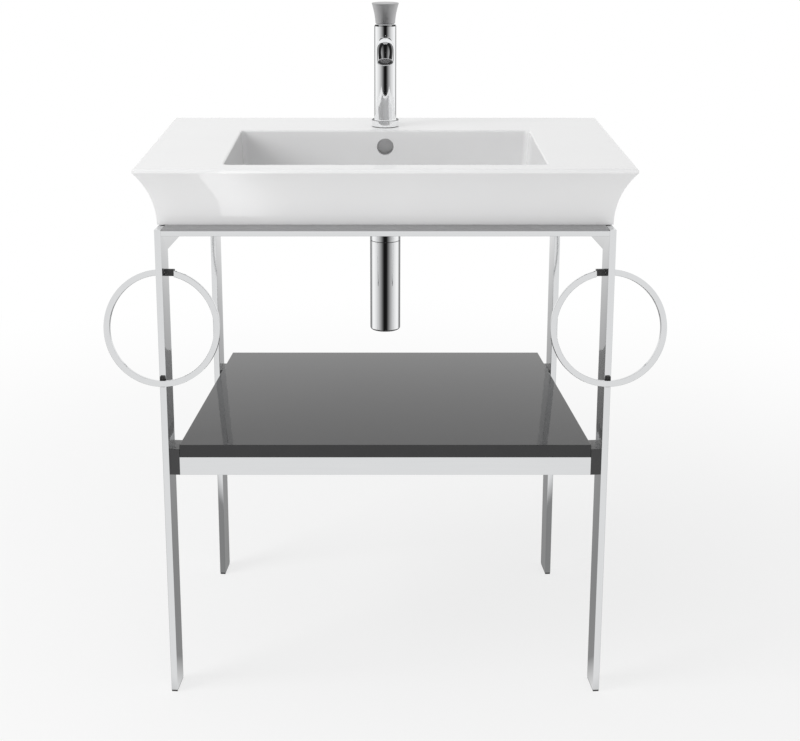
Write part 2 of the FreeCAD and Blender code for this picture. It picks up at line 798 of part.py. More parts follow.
hook_u = S.bar_thickness
hanger_u = hook_u + S.hook_width
shelf_u = hanger_u + S.hanger_width
tongue_z = shelf_bottom_z + S.tongue_height
small_screw_z = shelf_bottom_z + S.shelf_rail_height / 2
connector_places = {
    "front": (S.connector_inset, S.connector_height),
    "back": (frame_run - S.connector_inset - S.connector_depth, S.back_connector_height),
}
hooks, hangers, hook_screws, hanger_screws = [], [], [], []
hook_ways, hanger_ways = {}, []
for place, (v, height) in connector_places.items():
    profile = [
        (v, shelf_bottom_z),
        (v + S.connector_depth, shelf_bottom_z),
        (v + S.connector_depth, shelf_bottom_z + height),
        (v, shelf_bottom_z + height),
    ]
    hook_block = prism(f"{place}_hook_block", "YZ_Plane", profile, S.hook_width, (hook_u, 0, 0),
                       S.connector_edge_radius, long_x)
    hanger_block = prism(f"{place}_hanger_block", "YZ_Plane", profile, S.hanger_width, (hanger_u, 0, 0),
                         S.connector_edge_radius, long_x)
    tongue_v = v + S.tongue_inset
    tongue = box(f"{place}_tongue",
                 (S.tongue_depth + S.overrun, S.tongue_width, S.tongue_height - S.tongue_inset),
                 (hanger_u - S.overrun, tongue_v, shelf_bottom_z + S.tongue_inset))
    slot = box(f"{place}_slot",
               (S.tongue_depth + S.tongue_clearance + S.overrun, S.tongue_width + 2 * S.tongue_clearance,
                S.tongue_height + S.overrun),
               (hanger_u - S.overrun, tongue_v - S.tongue_clearance, shelf_bottom_z - S.overrun))
    screw_v = v + S.connector_depth - S.small_screw_inset
    hook_sizes = (S.small_screw_radius, S.hook_width + S.hook_screw_grip,
                  (hanger_u, screw_v, small_screw_z), "-x")
    hanger_sizes = (S.small_screw_radius, S.shelf_bar + S.hanger_screw_grip,
                    (shelf_u + S.shelf_bar, screw_v, small_screw_z), "-x")
    hook_screws.append(screw(f"{place}_hook_screw", *hook_sizes))
    hanger_screws.append(screw(f"{place}_hanger_screw", *hanger_sizes))
    hook_ways[place] = screw_way(f"{place}_hook_way", *hook_sizes)
    hanger_ways.append(screw_way(f"{place}_hanger_way", *hanger_sizes))
    hooks.append(cut(f"{place}_hook", fuse(f"{place}_hook_body", hook_block, tongue), hook_ways[place]))
    hangers.append(cut(f"{place}_hanger", hanger_block, slot, hanger_ways[-1]))
both_sides("leg_hooks", *hooks)
both_sides("shelf_hangers", *hangers)
both_sides("hook_screws", *hook_screws)
both_sides("hanger_screws", *hanger_screws)

# Towel ring: a flat hoop, open at the leg, on a round pin that turns in a bush.
# It is drawn upright as (inward, back, up), with its pivot line at the height and depth of zero.

ring_radius = S.ring_diameter / 2
ring_middle_radius = ring_radius - S.ring_bar / 2
hoop_middle_u = S.bar_thickness / 2
sleeve_u = S.bar_thickness + S.side_clearance
sleeve_middle_u = sleeve_u + S.sleeve_length / 2
hoop_end_u = sleeve_u + S.sleeve_length
hoop_start_u = -S.bush_flange - S.side_clearance
hoop_front_v = -S.ring_thickness / 2

hoop_disc = rod("hoop_disc", ring_radius, S.ring_thickness,
                (hoop_middle_u, hoop_front_v, -ring_middle_radius), "y")
hoop_hole = rod("hoop_hole", ring_radius - S.ring_bar, S.ring_thickness + 2 * S.overrun,
                (hoop_middle_u, hoop_front_v - S.overrun, -ring_middle_radius), "y")
hoop = round_edges("hoop", cut("hoop_ring", hoop_disc, hoop_hole), S.ring_edge_radius,
                   lambda edge: len(edge.Vertexes) == 1)
hoop_gap = box("hoop_gap",
               (hoop_end_u - hoop_start_u, S.ring_thickness + 2 * S.overrun, S.ring_bar + 2 * S.overrun),
               (hoop_start_u, hoop_front_v - S.overrun, -S.ring_bar / 2 - S.overrun))
pin = rod("ring_pin", S.ring_pin_radius, sleeve_middle_u - S.side_clearance - hoop_start_u + S.pin_root,
          (hoop_start_u - S.pin_root, 0, 0), "x")
spigot = rod("ring_spigot", S.ring_spigot_radius,
             hoop_end_u + S.pin_root - sleeve_middle_u - S.side_clearance,
             (sleeve_middle_u + S.side_clearance, 0, 0), "x")
towel_ring = fuse("towel_ring", cut("hoop_open", hoop, hoop_gap), pin, spigot)

half_section = S.sleeve_section / 2
sleeve_block = prism("sleeve_block", "YZ_Plane", [
    (-half_section, -half_section),
    (half_section, -half_section),
    (half_section, half_section),
    (-half_section, half_section),
], S.sleeve_length, (sleeve_u, 0, 0), S.sleeve_edge_radius, long_x)
sleeve_bore = rod("sleeve_bore", S.ring_pin_radius + S.sleeve_clearance, S.sleeve_length / 2 + S.overrun,
                  (sleeve_u - S.overrun, 0, 0), "x")
spigot_bore = rod("spigot_bore", S.ring_spigot_radius + S.sleeve_clearance, S.sleeve_length / 2 + S.overrun,
                  (sleeve_middle_u, 0, 0), "x")
sleeve_screw_at = (sleeve_u + S.sleeve_screw_share * S.sleeve_length, -half_section, 0)
sleeve_screw = rod("sleeve_screw", S.sleeve_screw_radius,
                   half_section - S.ring_pin_radius - S.sleeve_clearance, sleeve_screw_at, "y")
sleeve_screw_way = rod("sleeve_screw_way", S.sleeve_screw_radius + S.sleeve_clearance, half_section,
                       sleeve_screw_at, "y")
sleeve = cut("ring_sleeve", sleeve_block, sleeve_bore, spigot_bore, sleeve_screw_way)

# The hoop leans forward on its buffer: its lean comes from the buffer's face and the hoop's back edge
lean_reach = ring_middle_radius + ring_radius - S.ring_bar
lean_forward = S.ring_pivot_depth + S.buffer_thickness + S.buffer_gap
half_thickness = S.ring_thickness / 2
lean_radius = root(lean_reach * lean_reach + half_thickness * half_thickness)
ring_lean = arc_sine(lean_forward / lean_radius) + arc_tangent(half_thickness / lean_reach)
pivot_z = skirt_z - S.ring_pivot_height
pivot_at = (0, S.ring_pivot_depth, pivot_z)
ring_pieces = {"towel_ring": towel_ring, "ring_sleeve": sleeve, "ring_sleeve_screw": sleeve_screw}
for label, thing in ring_pieces.items():
    leaning = turn(group(label + "_leaning", thing), Vector(-1, 0, 0), ring_lean, pivot_at)
    side_pair(label, group(label + "_side", leaning))

bush = turned("ring_bush", [
    (S.ring_pin_radius + S.running_clearance, -S.bush_flange),
    (S.bush_flange_radius, -S.bush_flange),
    (S.bush_flange_radius, 0),
    (S.bush_radius, 0),
    (S.bush_radius, S.bar_thickness),
    (S.ring_pin_radius + S.running_clearance, S.bar_thickness),
], pivot_at, "x")
bush_way = rod("bush_way", S.bush_radius + S.bush_clearance, S.bar_thickness + 2 * S.overrun,
               (-S.overrun, S.ring_pivot_depth, pivot_z), "x")
both_sides("ring_bushes", bush)

# Buffers: rubber pads on the front of the legs, behind the lowest part of the hoops

buffer_z = pivot_z - ring_middle_radius - ring_radius
buffer_start_u = (S.bar_thickness - S.buffer_width) / 2
buffer_end_u = buffer_start_u + S.buffer_width
buffer_pad = prism("buffer_pad", "XZ_Plane", [
    (buffer_start_u, buffer_z),
    (buffer_end_u, buffer_z),
    (buffer_end_u, buffer_z + S.buffer_length),
    (buffer_start_u, buffer_z + S.buffer_length),
], S.buffer_thickness, ORIGIN, S.buffer_edge_radius, long_y)
buffer_at = (S.bar_thickness / 2, -S.buffer_thickness / 2, buffer_z + S.buffer_length / 2)
buffer_run = S.buffer_stem_length + S.buffer_thickness / 2
buffer_stem = rod("buffer_stem", S.buffer_stem_radius, buffer_run, buffer_at, "y")
buffer_way = rod("buffer_way", S.buffer_stem_radius + S.screw_clearance, buffer_run + S.screw_clearance,
                 buffer_at, "y")
both_sides("ring_buffers", fuse("ring_buffer", buffer_pad, buffer_stem))

front_leg_ways = [bush_way, buffer_way, hook_ways["front"], glide_ways[0]]
side_pair("front_leg", cut("front_leg", front_leg_bar, *front_leg_ways))
side_pair("back_leg", cut("back_leg", back_leg_bar, hook_ways["back"], glide_ways[1]))

# Shelf: a board on four bars, with the same taper as the side frames


def shelf_half(y):
    return console_half - shelf_u * slant - (y - front_y) * taper


shelf_rail_z = shelf_bottom_z
board_z = shelf_rail_z + S.shelf_rail_height
node("shelf_board", prism("shelf_board", "XY_Plane", trapezium(front_y, back_end_y, 0, shelf_half),
                          S.board_thickness, (0, 0, board_z), S.board_edge_radius, lambda edge: True))
shelf_spans = {"front": (front_y, front_y + S.shelf_bar), "back": (back_end_y - S.shelf_bar, back_end_y)}
for place, (low_y, high_y) in shelf_spans.items():
    node(f"shelf_{place}_rail", prism(f"shelf_{place}_rail", "XY_Plane",
                                      trapezium(low_y, high_y, 0, shelf_half), S.shelf_rail_height,
                                      (0, 0, shelf_rail_z), S.bar_edge_radius, long_x))
side_low_y, side_high_y = shelf_spans["front"][1], shelf_spans["back"][0]
side_width = S.shelf_bar * slant
shelf_side_bar = prism("shelf_side_bar", "XY_Plane", [
    (-shelf_half(side_low_y), side_low_y),
    (side_width - shelf_half(side_low_y), side_low_y),
    (side_width - shelf_half(side_high_y), side_high_y),
    (-shelf_half(side_high_y), side_high_y),
], S.shelf_rail_height, (0, 0, shelf_rail_z))
shelf_ways = to_left(group("shelf_ways", *hanger_ways))
shelf_side = node("shelf_side_rail_left", cut("shelf_side_rail", shelf_side_bar, shelf_ways))
node("shelf_side_rail_right", mirrored("shelf_side_rail_mirror", shelf_side))

# Mixer tap: fixed pieces from the deck up

tap_at = (0, tap_y, 0)
seal_top_z = rim_z + S.base_seal_thickness
body_z = seal_top_z + S.base_ring_height
handle_z = rim_z + S.handle_bottom_height
handle_top_z = handle_z + S.handle_height
pivot_z = handle_z - S.pivot_below_handle
tap_radius = S.tap_diameter / 2
body_top_z = pivot_z + other_leg(S.dome_radius, tap_radius)
cartridge_top_z = pivot_z + S.cartridge_above_pivot
cartridge_z = cartridge_top_z - S.cartridge_height
spout_z = rim_z + S.spout_height
shank_way_radius = S.shank_radius + S.thread_clearance
shank_top_z = body_z + S.shank_grip
shank_bottom_z = shank_top_z - S.shank_length
base_radius = S.base_ring_diameter / 2

node("tap_base_seal", ring("tap_base_seal", shank_way_radius, base_radius - S.seal_margin,
                           rim_z, seal_top_z, tap_at))
node("tap_base_ring", turned("tap_base_ring", [
    (shank_way_radius, seal_top_z),
    (base_radius, seal_top_z),
    (base_radius, body_z - S.base_ring_edge, -S.base_ring_edge),
    (base_radius - S.base_ring_edge, body_z),
    (shank_way_radius, body_z),
], tap_at))

RIGHT_ANGLE = 90
bend_turn = Rotation(Vector(0, 0, 1), Vector(0, -1, 0), Vector(1, 0, 0), "XYZ")


def spout_tube(name, radius):
    """A straight run to the front, then a bend downwards."""
    run = rod(name + "_run", radius, S.spout_run, (0, tap_y, spout_z), "-y")
    bend = doc.addObject("Part::Torus", name + "_bend")
    bind(bend, "Radius1", S.spout_bend_radius)
    bind(bend, "Radius2", radius)
    bind(bend, "Angle3", S.spout_bend)
    bend.Placement = Placement(Vector(), bend_turn)
    bind(bend, "Placement.Base.y", tap_y - S.spout_run)
    bind(bend, "Placement.Base.z", spout_z - S.spout_bend_radius)
    return run, bend


outlet_at = (0, tap_y - S.spout_run - S.spout_bend_radius * sine(S.spout_bend),
             spout_z - S.spout_bend_radius + S.spout_bend_radius * cosine(S.spout_bend))


def to_outlet(thing):
    """Turn a piece so that its own Z points up the bore from the spout's mouth."""
    return turn(thing, Vector(-1, 0, 0), RIGHT_ANGLE - S.spout_bend, outlet_at)


column = rod("tap_column", tap_radius, body_top_z - body_z, (0, tap_y, body_z))
spout_run, spout_bend = spout_tube("spout", S.spout_diameter / 2)
bore_run, bore_bend = spout_tube("spout_bore", S.spout_bore / 2)
aerator_way = to_outlet(rod("aerator_way", S.aerator_diameter / 2, S.aerator_depth))
cavity = rod("cartridge_cavity", S.cartridge_radius + S.cavity_clearance,
             body_top_z - cartridge_z + S.overrun, (0, tap_y, cartridge_z))
shank_way = rod("shank_way", shank_way_radius, S.shank_grip + S.overrun, (0, tap_y, body_z - S.overrun))
tail_z = shank_bottom_z - S.tail_below_shank
tail_top_z = shank_top_z + S.tail_grip
inlet_tails, inlet_ways = [], []
for side, x in (("left", -S.tail_spacing / 2), ("right", S.tail_spacing / 2)):
    inlet_ways.append(rod(f"inlet_{side}", S.tail_radius + S.sleeve_clearance, S.tail_grip,
                          (x, tap_y, shank_top_z)))
    inlet_ways.append(rod(f"feed_{side}", S.feed_radius, cartridge_z - shank_top_z,
                          (x, tap_y, shank_top_z)))
    inlet_tails.append(turned(f"tail_{side}", [
        (S.tail_bore / 2, tail_z),
        (S.tail_end_radius, tail_z),
        (S.tail_end_radius, tail_z + S.tail_end_length),
        (S.tail_radius, tail_z + S.tail_end_length),
        (S.tail_radius, tail_top_z),
        (S.tail_bore / 2, tail_top_z),
    ], (x, tap_y, 0)))
node("inlet_tails", group("inlet_tails", *inlet_tails))
tap_cast = fuse("tap_cast", column, spout_run, spout_bend)


def on_spout_joint(edge):
    limits = edge.BoundBox
    below_top = limits.ZMin > body_z.value + MATCH and limits.ZMax < body_top_z.value - MATCH
    on_column = limits.Center.y > (tap_y - tap_radius).value
    return below_top and on_column and limits.XLength > S.spout_diameter.value / 2


tap_blended = round_edges("tap_blended", tap_cast, S.spout_joint_radius, on_spout_joint)
tap_ways = [bore_run, bore_bend, aerator_way, cavity, shank_way, *inlet_ways]
node("tap_body", cut("tap_bored", tap_blended, *tap_ways))

aerator_radius = S.aerator_diameter / 2 - S.screw_clearance
aerator = turned("aerator", [
    (0, S.aerator_recess + S.aerator_lip),
    (aerator_radius - S.aerator_lip, S.aerator_recess + S.aerator_lip),
    (aerator_radius - S.aerator_lip, S.aerator_recess),
    (aerator_radius, S.aerator_recess),
    (aerator_radius, S.aerator_depth),
    (0, S.aerator_depth),
])
node("aerator", to_outlet(aerator))

node("tap_shank", ring("tap_shank", S.shank_bore / 2, S.shank_radius, shank_bottom_z, shank_top_z, tap_at))
gasket_z = deck_under_z - S.deck_gasket_thickness
node("deck_gasket", ring("deck_gasket", shank_way_radius, S.deck_gasket_diameter / 2,
                         gasket_z, deck_under_z, tap_at))
deck_nut_z = gasket_z - S.deck_nut_height
node("deck_nut", cut(
    "deck_nut",
    hexagon("deck_nut_block", S.deck_nut_diameter, S.deck_nut_height, (0, tap_y, deck_nut_z)),
    rod("deck_nut_bore", shank_way_radius, S.deck_nut_height + 2 * S.overrun,
        (0, tap_y, deck_nut_z - S.overrun)),
))

carrier_bore = S.carrier_radius + S.running_clearance
carrier_z = cartridge_z + S.cartridge_floor
node("cartridge", turned("cartridge", [
    (0, cartridge_z),
    (S.cartridge_radius, cartridge_z),
    (S.cartridge_radius, cartridge_top_z),
    (carrier_bore, cartridge_top_z),
    (carrier_bore, carrier_z),
    (0, carrier_z),
], tap_at))
node("dome_nut", turned("dome_nut", [
    (S.dome_bore_radius, cartridge_top_z),
    (S.cartridge_radius, cartridge_top_z),
    (S.cartridge_radius, body_top_z),
    (tap_radius, body_top_z, S.dome_radius),
    (S.dome_bore_radius, pivot_z + other_leg(S.dome_radius, S.dome_bore_radius)),
], tap_at))

# Mixer tap: the carrier turns in the cartridge, and the lever tips in the carrier

slot_z = pivot_z - S.carrier_slot_below_pivot
pin_at = (-S.lever_pin_length / 2, tap_y, pivot_z)
carrier_start_z = carrier_z + S.carrier_lift
carrier_block = rod("carrier_block", S.carrier_radius, pivot_z + S.carrier_above_pivot - carrier_start_z,
                    (0, tap_y, carrier_start_z))
carrier_slot = box("carrier_slot",
                   (S.carrier_slot, 2 * tap_radius, S.carrier_slot_below_pivot + S.dome_radius),
                   (-S.carrier_slot / 2, tap_y - tap_radius, slot_z))
carrier_pin_way = rod("carrier_pin_way", S.lever_pin_radius + S.sleeve_clearance, 2 * tap_radius,
                      (-tap_radius, tap_y, pivot_z), "x")
node("cartridge_carrier", cut("cartridge_carrier", carrier_block, carrier_slot, carrier_pin_way))
node("lever_pin", rod("lever_pin", S.lever_pin_radius, S.lever_pin_length, pin_at, "x"))

handle_socket_radius = S.dome_radius + S.dome_gap
lever_bore_radius = S.lever_radius + S.sleeve_clearance
socket_z = pivot_z + other_leg(handle_socket_radius, lever_bore_radius)
lever_top_z = socket_z + S.lever_socket_depth
lever_z = pivot_z - S.lever_below_pivot
lever_rod = rod("lever_rod", S.lever_radius, lever_top_z - lever_z, (0, tap_y, lever_z))
lever_pin_way = rod("lever_pin_way", S.lever_pin_radius + S.running_clearance, 2 * tap_radius,
                    (-tap_radius, tap_y, pivot_z), "x")
node("lever_stem", cut("lever_stem", lever_rod, lever_pin_way))

handle_radius = S.handle_top_diameter / 2
handle_turned = turned("handle_turned", [
    (other_leg(handle_socket_radius, S.pivot_below_handle), handle_z),
    (S.handle_bottom_diameter / 2, handle_z, -S.handle_flare_radius),
    (handle_radius, handle_top_z - S.handle_edge, S.handle_edge),
    (handle_radius - S.handle_edge, handle_top_z),
    (0, handle_top_z),
    (0, lever_top_z + S.screw_clearance),
    (lever_bore_radius, lever_top_z + S.screw_clearance),
    (lever_bore_radius, socket_z, -handle_socket_radius),
], tap_at)
handle_screw_z = (socket_z + lever_top_z) / 2
handle_screw_at = (0, tap_y + lever_bore_radius, handle_screw_z)
handle_screw_way = rod("handle_screw_way", S.handle_screw_radius + S.screw_clearance, handle_radius,
                       handle_screw_at, "y")
node("tap_handle", cut("tap_handle", handle_turned, handle_screw_way))
node("handle_screw", rod("handle_screw", S.handle_screw_radius, S.handle_screw_length,
                         handle_screw_at, "y"))

# Waste fitting in the bowl's floor

waste_at = (0, waste_y, 0)
flange_z = bowl_floor_z + S.flange_seal_thickness
flange_top_z = flange_z + S.flange_height
flange_radius = S.flange_diameter / 2
lower_seal_z = boss_bottom_z - S.lower_seal_thickness
waste_nut_z = lower_seal_z - S.waste_nut_height
waste_end_z = waste_nut_z - S.waste_tail_below_nut
tail_way_radius = S.waste_tail_radius + S.thread_clearance
waste_bore_radius = S.waste_bore / 2
hub_top_z = bowl_floor_z - S.hub_below_floor + S.hub_height
hub_z = hub_top_z - S.hub_height

waste_tube = turned("waste_tube", [
    (waste_bore_radius, waste_end_z),
    (S.waste_tail_radius, waste_end_z),
    (S.waste_tail_radius, flange_z),
    (flange_radius, flange_z),
    (flange_radius, flange_top_z - S.flange_edge),
    (flange_radius - S.flange_edge, flange_top_z),
    (waste_bore_radius, flange_top_z),
], waste_at)
waste_hub = rod("waste_hub", S.hub_radius, S.hub_height, (0, waste_y, hub_z))
spider_length = waste_bore_radius + S.waste_tail_radius
waste_spider = box("waste_spider", (spider_length, S.spider_width, S.hub_height),
                   (-spider_length / 2, waste_y - S.spider_width / 2, hub_z))
stem_way = rod("stem_way", S.plug_stem_radius + S.running_clearance, S.hub_height + 2 * S.overrun,
               (0, waste_y, hub_z - S.overrun))
windows = [
    box(f"window_{side}", (S.window_width, S.waste_tail_radius, S.overflow_channel_height),
        (-S.window_width / 2, y, channel_z))
    for side, y in (("front", waste_y - S.waste_tail_radius - waste_bore_radius + S.hub_radius),
                    ("back", waste_y + waste_bore_radius - S.hub_radius))
]
waste_cast = fuse("waste_cast", waste_tube, waste_hub, waste_spider)
node("waste_body", cut("waste_body", waste_cast, stem_way, *windows))
node("waste_flange_seal", ring("waste_flange_seal", S.waste_hole / 2 + S.seal_margin,
                               flange_radius - S.seal_margin, bowl_floor_z, flange_z, waste_at))
node("waste_lower_seal", ring("waste_lower_seal", tail_way_radius, S.lower_seal_diameter / 2,
                              lower_seal_z, boss_bottom_z, waste_at))
node("waste_nut", cut(
    "waste_nut",
    hexagon("waste_nut_block", S.waste_nut_diameter, S.waste_nut_height, (0, waste_y, waste_nut_z)),
    rod("waste_nut_bore", tail_way_radius, S.waste_nut_height + 2 * S.overrun,
        (0, waste_y, waste_nut_z - S.overrun)),
))

# Push-open plug: a cap on a stem that slides in the waste's hub

plug_z = flange_top_z + S.plug_seal_thickness
plug_top_z = plug_z + S.plug_height
plug_radius = S.plug_diameter / 2
stem_z = hub_z - S.plug_stem_below_hub
clip_top_z = hub_z - S.plug_travel - S.side_clearance
node("waste_plug", turned("waste_plug", [
    (0, stem_z),
    (S.plug_stem_radius, stem_z),
    (S.plug_stem_radius, plug_z - S.plug_skirt_height),
    (S.plug_skirt_radius, plug_z - S.plug_skirt_height),
    (S.plug_skirt_radius, plug_z),
    (plug_radius, plug_z),
    (plug_radius, plug_top_z - S.plug_edge, S.plug_edge),
    (plug_radius - S.plug_edge, plug_top_z),
    (0, plug_top_z),
], waste_at))
plug_seal_outer = plug_radius - S.seal_margin
node("plug_seal", ring("plug_seal", plug_seal_outer - S.plug_seal_width, plug_seal_outer,
                       flange_top_z, plug_z, waste_at))
node("plug_clip", ring("plug_clip", S.plug_stem_radius + S.sleeve_clearance, S.clip_radius,
                       clip_top_z - S.clip_height, clip_top_z, waste_at))

# Bottle trap under the waste

trap_radius = S.trap_diameter / 2
head_top_z = waste_nut_z - S.head_gap
dip_flange_z = waste_end_z - S.dip_flange
stub_radius = S.outlet_stub_diameter / 2
passage_radius = S.outlet_passage / 2
outlet_z = dip_flange_z - S.outlet_height - passage_radius
seam_z = outlet_z - stub_radius - S.trap_seam
trap_bottom_z = seam_z - S.trap_bottom
trap_floor_z = trap_bottom_z + S.trap_floor
cup_top_z = seam_z - S.cup_seal_thickness
cup_bore_radius = trap_radius - S.trap_wall
spigot_radius = cup_bore_radius - S.spigot_clearance
spigot_z = seam_z - S.spigot_length
chamber_radius = S.chamber_bore / 2
pipe_radius = S.pipe_diameter / 2
drain_at = (0, waste_y, outlet_z)
stub_end_y = waste_y + S.outlet_stub_length
pipe_way_radius = pipe_radius + S.pipe_clearance

head_block = turned("head_block", [
    (0, spigot_z),
    (spigot_radius, spigot_z),
    (spigot_radius, seam_z),
    (trap_radius, seam_z),
    (trap_radius, head_top_z),
    (0, head_top_z),
], waste_at)
stub = rod("outlet_stub", stub_radius, S.outlet_stub_length, drain_at, "y")
chamber = rod("chamber", chamber_radius, dip_flange_z - spigot_z + S.overrun,
              (0, waste_y, spigot_z - S.overrun))
tail_way = rod("tail_way", tail_way_radius, head_top_z - dip_flange_z + S.overrun,
               (0, waste_y, dip_flange_z))
passage = rod("outlet_passage", passage_radius, S.outlet_stub_length, drain_at, "y")
pipe_way = rod("pipe_way", pipe_way_radius, S.outlet_socket_depth + S.overrun,
               (0, stub_end_y - S.outlet_socket_depth, outlet_z), "y")
head_cast = fuse("head_cast", head_block, stub)
node("trap_head", cut("trap_head", head_cast, chamber, tail_way, passage, pipe_way))
node("trap_cup", turned("trap_cup", [
    (0, trap_bottom_z),
    (trap_radius - S.trap_bottom_radius, trap_bottom_z, S.trap_bottom_radius),
    (trap_radius, trap_bottom_z + S.trap_bottom_radius),
    (trap_radius, cup_top_z),
    (cup_bore_radius, cup_top_z),
    (cup_bore_radius, trap_floor_z),
    (0, trap_floor_z),
], waste_at))
dip_radius = S.dip_tube_diameter / 2
dip_bore_radius = dip_radius - S.dip_tube_wall
dip_z = trap_floor_z + S.dip_tube_above_floor
node("dip_tube", turned("dip_tube", [
    (dip_bore_radius, dip_z),
    (dip_radius, dip_z),
    (dip_radius, dip_flange_z),
    (S.waste_tail_radius, dip_flange_z),
    (S.waste_tail_radius, waste_end_z),
    (dip_bore_radius, waste_end_z),
], waste_at))

nut_end_y = stub_end_y + S.outlet_seal_thickness + S.outlet_nut_lip
cup_seal = ring("cup_seal", spigot_radius + S.spigot_clearance, trap_radius - S.cup_seal_inset,
                cup_top_z, seam_z, waste_at)
outlet_seal = ring("outlet_seal", pipe_way_radius, stub_radius, 0, S.outlet_seal_thickness,
                   (0, stub_end_y, outlet_z), "y")
node("trap_seals", group("trap_seals", cup_seal, outlet_seal))
nut_inner = stub_radius + S.thread_clearance
lip_start = S.outlet_nut_length - S.outlet_nut_lip
node("outlet_nut", turned("outlet_nut", [
    (nut_inner, 0),
    (S.outlet_nut_diameter / 2, 0),
    (S.outlet_nut_diameter / 2, S.outlet_nut_length),
    (pipe_way_radius, S.outlet_nut_length),
    (pipe_way_radius, lip_start),
    (nut_inner, lip_start),
], (0, nut_end_y - S.outlet_nut_length, outlet_z), "y"))
pipe_start_y = stub_end_y - S.outlet_socket_depth
pipe_bore_radius = pipe_radius - S.pipe_wall
mark = wall_y - pipe_start_y
pipe_end = mark + S.pipe_past_wall
node("outlet_pipe", turned("outlet_pipe", [
    (pipe_bore_radius, 0),
    (pipe_radius, 0),
    (pipe_radius, mark),
    (pipe_radius - S.pipe_mark_depth, mark),
    (pipe_radius - S.pipe_mark_depth, mark + S.pipe_mark_width),
    (pipe_radius, mark + S.pipe_mark_width),
    (pipe_radius, pipe_end),
    (pipe_bore_radius, pipe_end),
], (0, pipe_start_y, outlet_z), "y"))
rosette_radius = S.rosette_diameter / 2
node("wall_rosette", turned("wall_rosette", [
    (pipe_way_radius, 0),
    (rosette_radius - S.rosette_height, 0),
    (rosette_radius, S.rosette_height - S.rosette_edge),
    (rosette_radius, S.rosette_height),
    (pipe_way_radius, S.rosette_height),
], (0, wall_y - S.rosette_height, outlet_z), "y"))

# Check every object before anything is written

doc.recompute()
failed = [thing.Label for thing in doc.Objects if {"Invalid", "Error"} & set(thing.State)]
if failed:
    raise RuntimeError(f"these objects failed: {failed}")
for label, thing in nodes.items():
    if thing.Shape.isNull() or not thing.Shape.isValid() or not thing.Shape.Solids:
        raise RuntimeError(f"{label} has no valid solid")

os.makedirs("parts", exist_ok=True)
for label, thing in nodes.items():
    solids = thing.Shape.Solids
    shape = solids[0] if len(solids) == 1 else Part.makeCompound(solids)
    shape.exportStep(f"parts/{label}.step")
    print(f"{label}: {len(solids)} solid(s), {shape.Volume / 1000:.1f} cm3")
print(f"{len(nodes)} nodes")
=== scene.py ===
# %% [markdown]
# # A vanity basin on a flat-bar console
# A white ceramic basin stands on a console of polished flat bars, with a dark gloss shelf,
# two towel rings, a mixer tap and a bottle trap. The solids come ready made from the CAD
# model, in metres. This lesson gives them their finishes, adds the small repeated parts
# and sets up the studio.

import json
import math

import bmesh
import bpy
import numpy as np
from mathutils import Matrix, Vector

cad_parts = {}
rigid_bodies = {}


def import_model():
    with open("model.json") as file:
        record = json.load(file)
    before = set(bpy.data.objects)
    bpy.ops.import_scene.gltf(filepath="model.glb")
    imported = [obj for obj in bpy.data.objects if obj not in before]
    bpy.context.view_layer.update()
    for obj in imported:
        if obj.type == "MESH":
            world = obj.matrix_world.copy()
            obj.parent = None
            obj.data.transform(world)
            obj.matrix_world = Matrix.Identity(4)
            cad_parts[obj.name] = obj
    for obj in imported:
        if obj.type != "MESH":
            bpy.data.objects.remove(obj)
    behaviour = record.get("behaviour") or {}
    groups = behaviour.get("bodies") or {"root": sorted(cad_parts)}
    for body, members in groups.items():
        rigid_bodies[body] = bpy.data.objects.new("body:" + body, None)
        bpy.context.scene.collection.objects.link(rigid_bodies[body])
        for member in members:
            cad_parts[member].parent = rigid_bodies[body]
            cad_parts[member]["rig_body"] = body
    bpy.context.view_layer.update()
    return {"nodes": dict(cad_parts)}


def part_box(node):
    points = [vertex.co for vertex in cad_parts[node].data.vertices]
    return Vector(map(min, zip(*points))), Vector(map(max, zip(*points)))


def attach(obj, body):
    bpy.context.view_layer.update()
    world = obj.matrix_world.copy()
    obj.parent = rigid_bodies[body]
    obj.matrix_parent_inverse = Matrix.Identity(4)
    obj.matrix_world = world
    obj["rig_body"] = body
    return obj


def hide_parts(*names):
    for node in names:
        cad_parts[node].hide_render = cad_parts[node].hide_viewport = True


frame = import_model()
nodes = frame["nodes"]

# %% [markdown]
# ## Finishes
# Every finish is a small node tree on the Principled shader. A painted picture would need an
# unwrapped mesh, while noise in object coordinates, which are metres here, fits any solid.
# A real surface is never one flat colour, so each tree starts from such noise. Values that
# are the same all over are typed into the shader's own sockets.

# %% Nodes, links and sums
def step(tree, kind, links=None, values=None, **properties):
    """A new node with its properties, its typed values and its links set."""
    node = tree.nodes.new(kind)
    for key, value in properties.items():
        setattr(node, key, value)
    for key, value in (values or {}).items():
        node.inputs[key].default_value = value
    for key, output in (links or {}).items():
        for one in output if isinstance(output, list) else [output]:
            tree.links.new(one, node.inputs[key])
    return node


def calc(tree, operation, first, second=None):
    """One sum on numbers or on the outputs of other nodes."""
    node = step(tree, "ShaderNodeMath", operation=operation)
    for socket, value in zip(node.inputs, (first, second)):
        if isinstance(value, (int, float)):
            socket.default_value = value
        elif value is not None:
            tree.links.new(value, socket)
    return node.outputs[0]


print("node helpers ready")

# %% A tree to start from
noise_low, noise_high = 0.3, 0.7


def start_finish(name, **sockets):
    """A new material with a Principled shader whose uniform sockets are set by name."""
    material = bpy.data.materials.new(name)
    material.use_nodes = True
    tree = material.node_tree
    shader = tree.nodes["Principled BSDF"]
    for socket, value in sockets.items():
        shader.inputs[socket.replace("_", " ")].default_value = value
    return material, tree, shader


